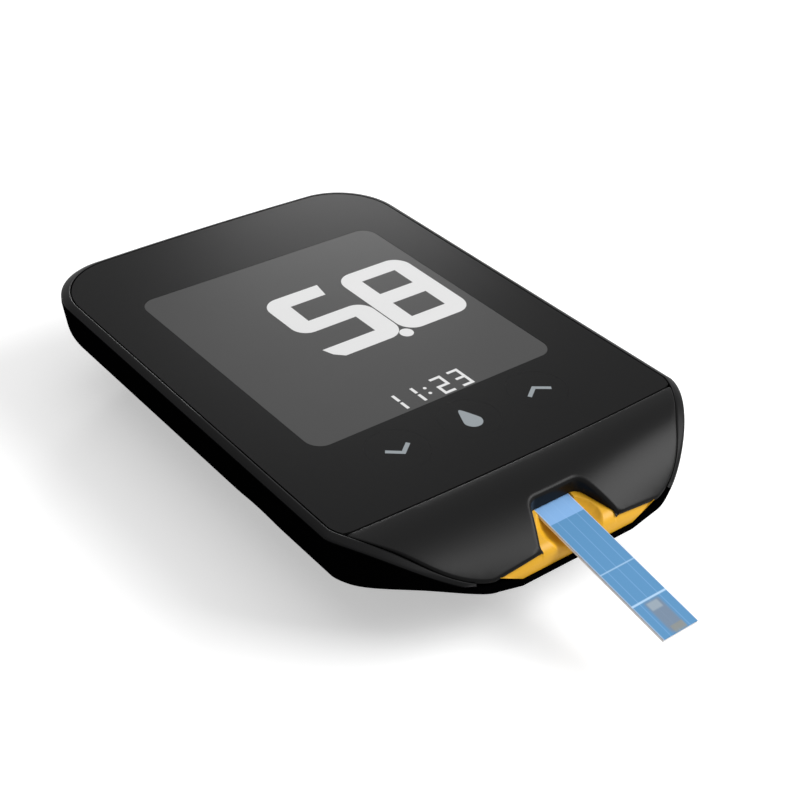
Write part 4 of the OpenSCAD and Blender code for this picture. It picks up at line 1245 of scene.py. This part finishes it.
@dataclass
class Keys:
    """The three round keys with their marks."""

    panel: FrontPanel
    workshop: Workshop
    radius: float = 3.893
    top: float = 14.597
    mark_top: float = 14.6

    def build(self) -> None:
        """Make each key and its mark."""
        bodies = (Body.DOWN_KEY, Body.HOME_KEY, Body.UP_KEY)
        nodes = ("key_down", "key_home", "key_up")
        marks = (self._chevron(-1), self._droplet(), self._chevron(1))
        for x, body, node, mark in zip(self.panel.key_xs, bodies, nodes, marks):
            y = self.panel.key_y
            key = Shapes.disc(x, y, self.radius, 13.7, self.top, edge=0.008, steps=96)
            key = key | Shapes.disc(x, y, 4.4, 13.3, 13.8, steps=64)
            key = key | Shapes.disc(x, y, 1.5, 10.55, 13.4, steps=32)
            self.workshop.piece(f"{node}_cap", key, Palette.PANEL, body, "key_film", [node])
            mark = mark.moved(0.988 * x, y - 0.16)
            self.workshop.piece(f"{node}_mark", mark, Palette.MARK, body, "key_film")

    def _chevron(self, way: int) -> Solid:
        """A chevron that points to the far end or to the nose."""
        line = [(-1.75, -0.6 * way), (0.0, 0.62 * way), (1.8, -0.65 * way)]
        if way < 0:
            line = [(-1.65, 0.62), (0.05, -0.7), (1.65, 0.5)]
        return Shapes.prism(Shapes.stroke(line, 0.55), self.top - 0.1, self.mark_top)

    def _droplet(self) -> Solid:
        """A plain droplet."""
        count = 40
        points = []
        for k in range(count):
            a = 2 * math.pi * k / count
            r = 1.25
            x, y = r * math.cos(a), r * math.sin(a)
            if y > 0:
                y = y * (1 + 1.1 * (y / r) ** 2)
                x = x * (1 - 0.35 * (y / (2.1 * r)))
            points.append((x, y - 0.45))
        return Shapes.prism(points, self.top - 0.1, self.mark_top)


@dataclass
class StripPort:
    """The yellow insert round the strip's entry, with its bowl and its two wings."""

    form: HousingForm
    chin: ChinCover
    workshop: Workshop
    half: float = 12.0
    front_inset: float = 0.3
    front_roll: float = 1.1
    lift: float = 0.04
    columns: int = 220

    def bowl(self, x: Values, y: Values) -> Values:
        """Height of the bowl's surface, or of open air past it."""
        f = self.form
        run = y - f.nose_y
        half = np.interp(run, [-0.3, 0.6, 1.5, 2.3, 3.3, 4.2, 4.7], [3.3, 3.75, 4.2, 4.4, 4.15, 3.4, 2.9])
        deep = np.interp(run, [-0.3, 1.0, 2.3, 3.6, 4.7], [1.2, 1.5, 1.75, 1.7, 1.4])
        share = np.clip(1 - (x / half) ** 2, 0, 1)
        level = f.port_level(y) - deep * share ** 0.85
        behind = smooth((run - 4.6) / 0.2)
        return np.where(share > 0, mix(level, f.port_level(y), behind), 99.0)

    def top(self, x: Values, y: Values) -> Values:
        """Height of the insert's upper surface."""
        f = self.form
        shoulder = f.port_level(y)
        under_chin = f.front(x, y) - f.chin_thickness(x, y) - 0.08
        share = np.clip((y - f.nose_y - 1) / 3.7, 0, 1)
        in_notch = np.abs(x) < mix(f.notch_mouth, f.notch_back, share) + 0.05
        level = np.where(in_notch, shoulder, np.minimum(shoulder, under_chin))
        bowl = self.bowl(x, y)
        soft = 0.18
        t = np.clip((bowl - level) / soft * 0.5 + 0.5, 0, 1)
        level = mix(bowl, level, t) - soft * t * (1 - t)
        return level - roll_off(y - f.nose_y - self.front_inset, self.front_roll)

    def solid(self) -> Solid:
        """The insert as a grid between its top and the lip."""
        f = self.form
        xs = self.half * np.linspace(-1, 1, self.columns)
        back = np.interp(np.abs(xs), [0, 6.3, 6.5, self.half], [5.9, 5.9, 2.4, 2.4])
        edge = f.inset(self.front_inset)
        right = edge[(edge[:, 0] >= 0) & (edge[:, 1] < -20)]
        order = np.argsort(right[:, 0])
        front = np.interp(np.abs(xs), right[order, 0], right[order, 1])
        shares = np.concatenate([np.array([0, 0.02, 0.06, 0.12, 0.2, 0.3]) / 2.4, np.linspace(0.17, 1, 40)])
        rows = len(shares)
        grid_x = np.repeat(xs[:, None], rows, 1)
        grid_y = front[:, None] + (f.nose_y + back[:, None] - front[:, None]) * shares[None]
        high = self.top(grid_x, grid_y - (front[:, None] - f.nose_y - self.front_inset))
        low = f.lip(grid_x) + self.lift + 0.25 * np.maximum(0.0, np.abs(grid_x) - f.lip_half) * 0.1
        high = np.maximum(high, low + 0.01)
        count = len(xs) * rows
        upper = np.stack([grid_x, grid_y, high], 2).reshape(-1, 3)
        lower = np.stack([grid_x, grid_y, low], 2).reshape(-1, 3)
        faces = []

        def at(i: int, j: int) -> int:
            """Number of a grid point."""
            return i * rows + j

        for i in range(len(xs) - 1):
            for j in range(rows - 1):
                quad = (at(i, j), at(i + 1, j), at(i + 1, j + 1), at(i, j + 1))
                faces.append(quad)
                faces.append(tuple(q + count for q in reversed(quad)))
            for j, flip in ((0, False), (rows - 1, True)):
                quad = (at(i + 1, j), at(i, j), at(i, j) + count, at(i + 1, j) + count)
                faces.append(tuple(reversed(quad)) if flip else quad)
        for j in range(rows - 1):
            for i, flip in ((0, True), (len(xs) - 1, False)):
                quad = (at(i, j + 1), at(i, j), at(i, j) + count, at(i, j + 1) + count)
                faces.append(tuple(reversed(quad)) if flip else quad)
        return Solid(np.vstack([upper, lower]), faces)

    def build(self) -> bpy.types.Object:
        """Make the piece."""
        solid = self.solid()
        slot = Shapes.box((-2.825, -5.3, -0.65), (2.825, 5.3, 0.9)).turned(TestStrip.axis(self.form))
        solid = solid - slot
        return self.workshop.piece("port_insert_moulding", solid, Palette.YELLOW, Body.HOUSING, "port_yellow",
                                   ["port_insert"], angle=50)


@dataclass
class TestStrip:
    """The laminated test strip: a pale base film with a printed blue film on it."""

    form: HousingForm
    workshop: Workshop
    width: float = 5.35
    thickness: float = 0.4
    outside: float = 21.15
    inside: float = 7.6

    @staticmethod
    def axis(form: HousingForm) -> Matrix:
        """Places the strip's own frame: +Y runs up the strip into the port."""
        entry = Matrix.Translation((0.0, form.entry_y, form.height - 3.19))
        return entry @ Matrix.Rotation(math.radians(10.7), 4, "X")

    def build(self) -> None:
        """Make the base and the printed film."""
        half = self.width / 2
        place = self.axis(self.form)
        base = Shapes.box((-half, -self.outside, -self.thickness), (half, self.inside, -0.12))
        film = Shapes.box((-half + 0.01, -self.outside + 0.01, -0.12), (half - 0.01, self.inside - 0.01, 0.0))
        obj = self.workshop.piece("strip_base_film", base.turned(place), Palette.STRIP_EDGE, Body.STRIP,
                                  "strip_blue", ["test_strip"])
        printed = self.workshop.piece("strip_printed_film", film.turned(place), Palette.STRIP_EDGE,
                                      Body.STRIP, "strip_blue")
        printed.data.materials[0] = self._print(place)
        self._lay_uv(printed, place)

    def _lay_uv(self, obj: bpy.types.Object, place: Matrix) -> None:
        """Give the film a map in millimetres across and along the strip."""
        back = place.inverted()
        layer = obj.data.uv_layers.new(name="print")
        for loop in obj.data.loops:
            p = back @ (obj.data.vertices[loop.vertex_index].co / MM)
            layer.data[loop.index].uv = (p.x / self.width + 0.5, -p.y / self.outside)

    def _print(self, place: Matrix) -> bpy.types.Material:
        """The blue print with its pale zone, its lines and the grey patch near the free end."""
        paints = self.workshop.paints
        material, kit, shader = paints.build(Finish("Strip print", (0.105, 0.29, 0.52), 0.45, specular=0.2))
        uv = kit.add("ShaderNodeUVMap", uv_map="print")
        split = kit.add("ShaderNodeSeparateXYZ")
        kit.link(uv.outputs["UV"], split.inputs[0])
        across = kit.math("MULTIPLY", kit.math("SUBTRACT", split.outputs["X"], 0.5), self.width)
        along = kit.math("MULTIPLY", split.outputs["Y"], self.outside)

        def band(value: Input, centre: float, half: float, edge: float = 0.05) -> bpy.types.NodeSocket:
            """1 within a band about a centre, 0 outside it."""
            distance = kit.math("ABSOLUTE", kit.math("SUBTRACT", value, centre))
            node = kit.add("ShaderNodeMapRange", interpolation_type="SMOOTHSTEP")
            kit.link(distance, node.inputs["Value"])
            node.inputs["From Min"].default_value = half + edge
            node.inputs["From Max"].default_value = half - edge
            return node.outputs["Result"]

        color = kit.blend(band(along, 0.0, 2.54), (0.105, 0.29, 0.53), (0.24, 0.46, 0.8))
        for centre in (-1.55, -0.1, 1.45):
            outside_pale = kit.math("MULTIPLY", band(across, centre, 0.05, 0.06), 0.35)
            color = kit.blend(outside_pale, color, (0.3, 0.52, 0.85))
        for centre, half, strength in ((10.95, 0.08, 0.6), (16.08, 0.13, 0.85)):
            line = kit.math("MULTIPLY", band(along, centre, half, 0.08), strength)
            color = kit.blend(line, color, (0.5, 0.72, 0.95))
        patch = kit.math("MULTIPLY", band(across, 0.0, 1.1, 0.3), band(along, 18.65, 2.3, 0.35))
        color = kit.blend(kit.math("MULTIPLY", patch, 0.8), color, (0.2, 0.24, 0.3))
        code = kit.math("MULTIPLY", band(across, -0.1, 0.8, 0.15), band(along, 17.1, 0.55, 0.15))
        color = kit.blend(kit.math("MULTIPLY", code, 0.6), color, (0.4, 0.47, 0.52))
        tail = kit.math("MULTIPLY", band(across, 0.2, 0.9, 0.1), band(along, 20.6, 0.5, 0.1))
        color = kit.blend(kit.math("MULTIPLY", tail, 0.5), color, (0.32, 0.3, 0.2))
        edges = kit.math("SUBTRACT", 1.0, band(across, 0.0, self.width / 2 - 0.1, 0.05))
        color = kit.blend(kit.math("MULTIPLY", edges, 0.6), color, (0.7, 0.75, 0.85))
        kit.link(color, shader.inputs["Base Color"])
        return material


@dataclass
class BatteryDoor:
    """The sliding door in the underside, with a ridged thumb pad."""

    form: HousingForm
    under: Underside
    workshop: Workshop
    copies: RowOfCopies
    near: float = -1.7
    far: float = 32.25

    def build(self) -> None:
        """Make the door."""
        keep = Shapes.loft([*self._filled()])
        door = Shapes.box((-11.9, self.near + 0.1, -0.5), (11.9, self.far, 1.15))
        door = door | Shapes.box((-12.7, self.near + 0.1, 0.6), (12.7, self.far, 1.15))
        door = door & keep
        groove = Shapes.box((-5.0, 0.0, -0.1), (5.0, 0.8, 0.3))
        grooves = self.copies.repeat(groove, 5, (0.0, self.near + 3.0, 0.0), (0.0, 1.6, 0.0), Palette.SHELL)
        self.workshop.piece("battery_door_panel", door - grooves, Palette.SHELL, Body.DOOR, "housing_black",
                            ["battery_door"])

    def _filled(self) -> list[np.ndarray]:
        """Rings of the whole underside as a filled solid."""
        rings = self.under.rings(0.0)
        top = rings[0].copy()
        top[:, 2] = self.form.height
        return [top] + rings


@dataclass
class Internals:
    """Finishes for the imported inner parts, which keep their own shape."""

    workshop: Workshop

    FINISHES = {
        "display_gasket": Palette.FOAM, "lcd_panel": Palette.GLASS, "light_guide": Palette.GUIDE,
        "display_frame": Palette.FRAME, "elastomer_strip": Palette.ELASTOMER, "circuit_board": Palette.BOARD,
        "board_chips": Palette.CHIP, "key_domes": Palette.SPRING, "strip_connector": Palette.CONNECTOR,
        "strip_contacts": Palette.GOLD, "buzzer": Palette.CHIP, "coin_cell": Palette.CELL,
        "cell_contact_negative": Palette.SPRING, "cell_contact_positive": Palette.SPRING,
        "data_socket": Palette.SOCKET,
    }

    def build(self) -> None:
        """Give each inner part, and each replaced node, its material."""
        hidden = {"back_shell": Palette.SHELL, "front_bezel": Palette.BEZEL, "chin_cover": Palette.CHIN,
                  "front_panel": Palette.PANEL, "display_window": Palette.PANE, "key_down": Palette.PANEL,
                  "key_home": Palette.PANEL, "key_up": Palette.PANEL, "port_insert": Palette.YELLOW,
                  "battery_door": Palette.SHELL, "housing_screws": Palette.SCREW,
                  "test_strip": Palette.STRIP_EDGE}
        for name, finish in {**self.FINISHES, **hidden}.items():
            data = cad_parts[name].data
            data.materials.clear()
            data.materials.append(self.workshop.paints.material(finish))


# ---- Studio --------------------------------------------------------------------------
@dataclass
class Studio:
    """Camera, lamps, floor and surroundings."""

    eye: tuple[float, float, float] = (-105.14, -130.73, 121.58)
    right: tuple[float, float, float] = (0.78273, -0.62079, 0.04405)
    up: tuple[float, float, float] = (0.32306, 0.46579, 0.82382)
    ahead: tuple[float, float, float] = (0.53194, 0.63060, -0.56514)
    lens: float = 70.53

    def build(self) -> None:
        """Set everything up."""
        self._camera()
        self._lamp("Top softbox", (0.0, 0.02, 0.42), (0.0, 0.0, 0.0), (0.5, 0.5), 0.5)
        self._lamp("Far softbox", (0.355, 0.475, 0.24), (0.01, 0.02, 0.0), (0.14, 0.12), 0.6)
        self._lamp("Front softbox", (0.335, -0.27, 0.35), (0.0, -0.02, 0.0), (0.38, 0.25), 2.6)
        self._floor()
        self._world()
        scene = bpy.context.scene
        scene.view_settings.view_transform = "Standard"

    def _camera(self) -> None:
        """The camera at the photo's place."""
        data = bpy.data.cameras.new("Camera")
        data.lens, data.sensor_width = self.lens, 36.0
        data.clip_start, data.clip_end = 0.01, 10.0
        camera = bpy.data.objects.new("Camera", data)
        bpy.context.scene.collection.objects.link(camera)
        r, u, a = Vector(self.right), Vector(self.up), Vector(self.ahead)
        turn = Matrix((r, u, -a)).transposed().to_4x4()
        camera.matrix_world = Matrix.Translation(Vector(self.eye) * MM) @ turn
        bpy.context.scene.camera = camera

    @staticmethod
    def _lamp(name: str, place: Sequence[float], aim: Sequence[float], size: Point2, power: float) -> None:
        """An area lamp that faces a point."""
        data = bpy.data.lights.new(name, "AREA")
        data.shape, data.size, data.size_y, data.energy = "RECTANGLE", size[0], size[1], power
        lamp = bpy.data.objects.new(name, data)
        lamp.location = place
        way = Vector(aim) - Vector(place)
        lamp.rotation_euler = way.to_track_quat("-Z", "Y").to_euler()
        bpy.context.scene.collection.objects.link(lamp)

    @staticmethod
    def _floor() -> None:
        """A pale floor that takes the shadow."""
        mesh = bpy.data.meshes.new("Floor")
        s = 1.5
        corners = [(x, y, -0.0001) for x, y in ((-s, -s), (s, -s), (s, s), (-s, s))]
        mesh.from_pydata(corners, [], [(0, 1, 2, 3)])
        material = bpy.data.materials.new("Floor")
        material.use_nodes = True
        shader = material.node_tree.nodes["Principled BSDF"]
        shader.inputs["Base Color"].default_value = (0.86, 0.86, 0.86, 1)
        shader.inputs["Roughness"].default_value = 0.9
        shader.inputs["Specular IOR Level"].default_value = 0.0
        kit = NodeKit(material.node_tree)
        path = kit.add("ShaderNodeLightPath")
        shader.inputs["Emission Color"].default_value = (1.0, 1.0, 1.0, 1.0)
        glow = kit.math("MULTIPLY", path.outputs["Is Camera Ray"], 0.45)
        kit.link(glow, shader.inputs["Emission Strength"])
        mesh.materials.append(material)
        floor = bpy.data.objects.new("Floor", mesh)
        bpy.context.scene.collection.objects.link(floor)

    @staticmethod
    def _world() -> None:
        """A pale world that the camera and mirror rays see as white."""
        world = bpy.data.worlds.new("World")
        bpy.context.scene.world = world
        world.use_nodes = True
        kit = NodeKit(world.node_tree)
        back = world.node_tree.nodes["Background"]
        path = kit.add("ShaderNodeLightPath")
        seen = kit.math("ADD", path.outputs["Is Camera Ray"], path.outputs["Is Glossy Ray"])
        seen = kit.math("ADD", seen, path.outputs["Is Transmission Ray"])
        seen = kit.math("MINIMUM", seen, 1.0)
        back.inputs["Color"].default_value = (1.0, 1.0, 1.0, 1.0)
        kit.link(kit.math("ADD", kit.math("MULTIPLY", seen, 0.75), 0.25), back.inputs["Strength"])


def main() -> None:
    """Build the meter in order: studio, housing, front, port, strip, inner parts."""
    logging.basicConfig(level=logging.INFO, format="%(name)s: %(message)s")
    Studio().build()
    form = HousingForm()
    under = Underside(form)
    workshop = Workshop(Paints())
    copies = RowOfCopies(workshop)
    BackShell(form, under, workshop, copies).build()
    bezel = Bezel(form, workshop)
    bezel.build()
    chin = ChinCover(form, bezel, workshop)
    chin.build()
    panel = FrontPanel(form, workshop)
    panel.build()
    Keys(panel, workshop).build()
    StripPort(form, chin, workshop).build()
    TestStrip(form, workshop).build()
    BatteryDoor(form, under, workshop, copies).build()
    Internals(workshop).build()


if __name__ == "__main__":
    main()
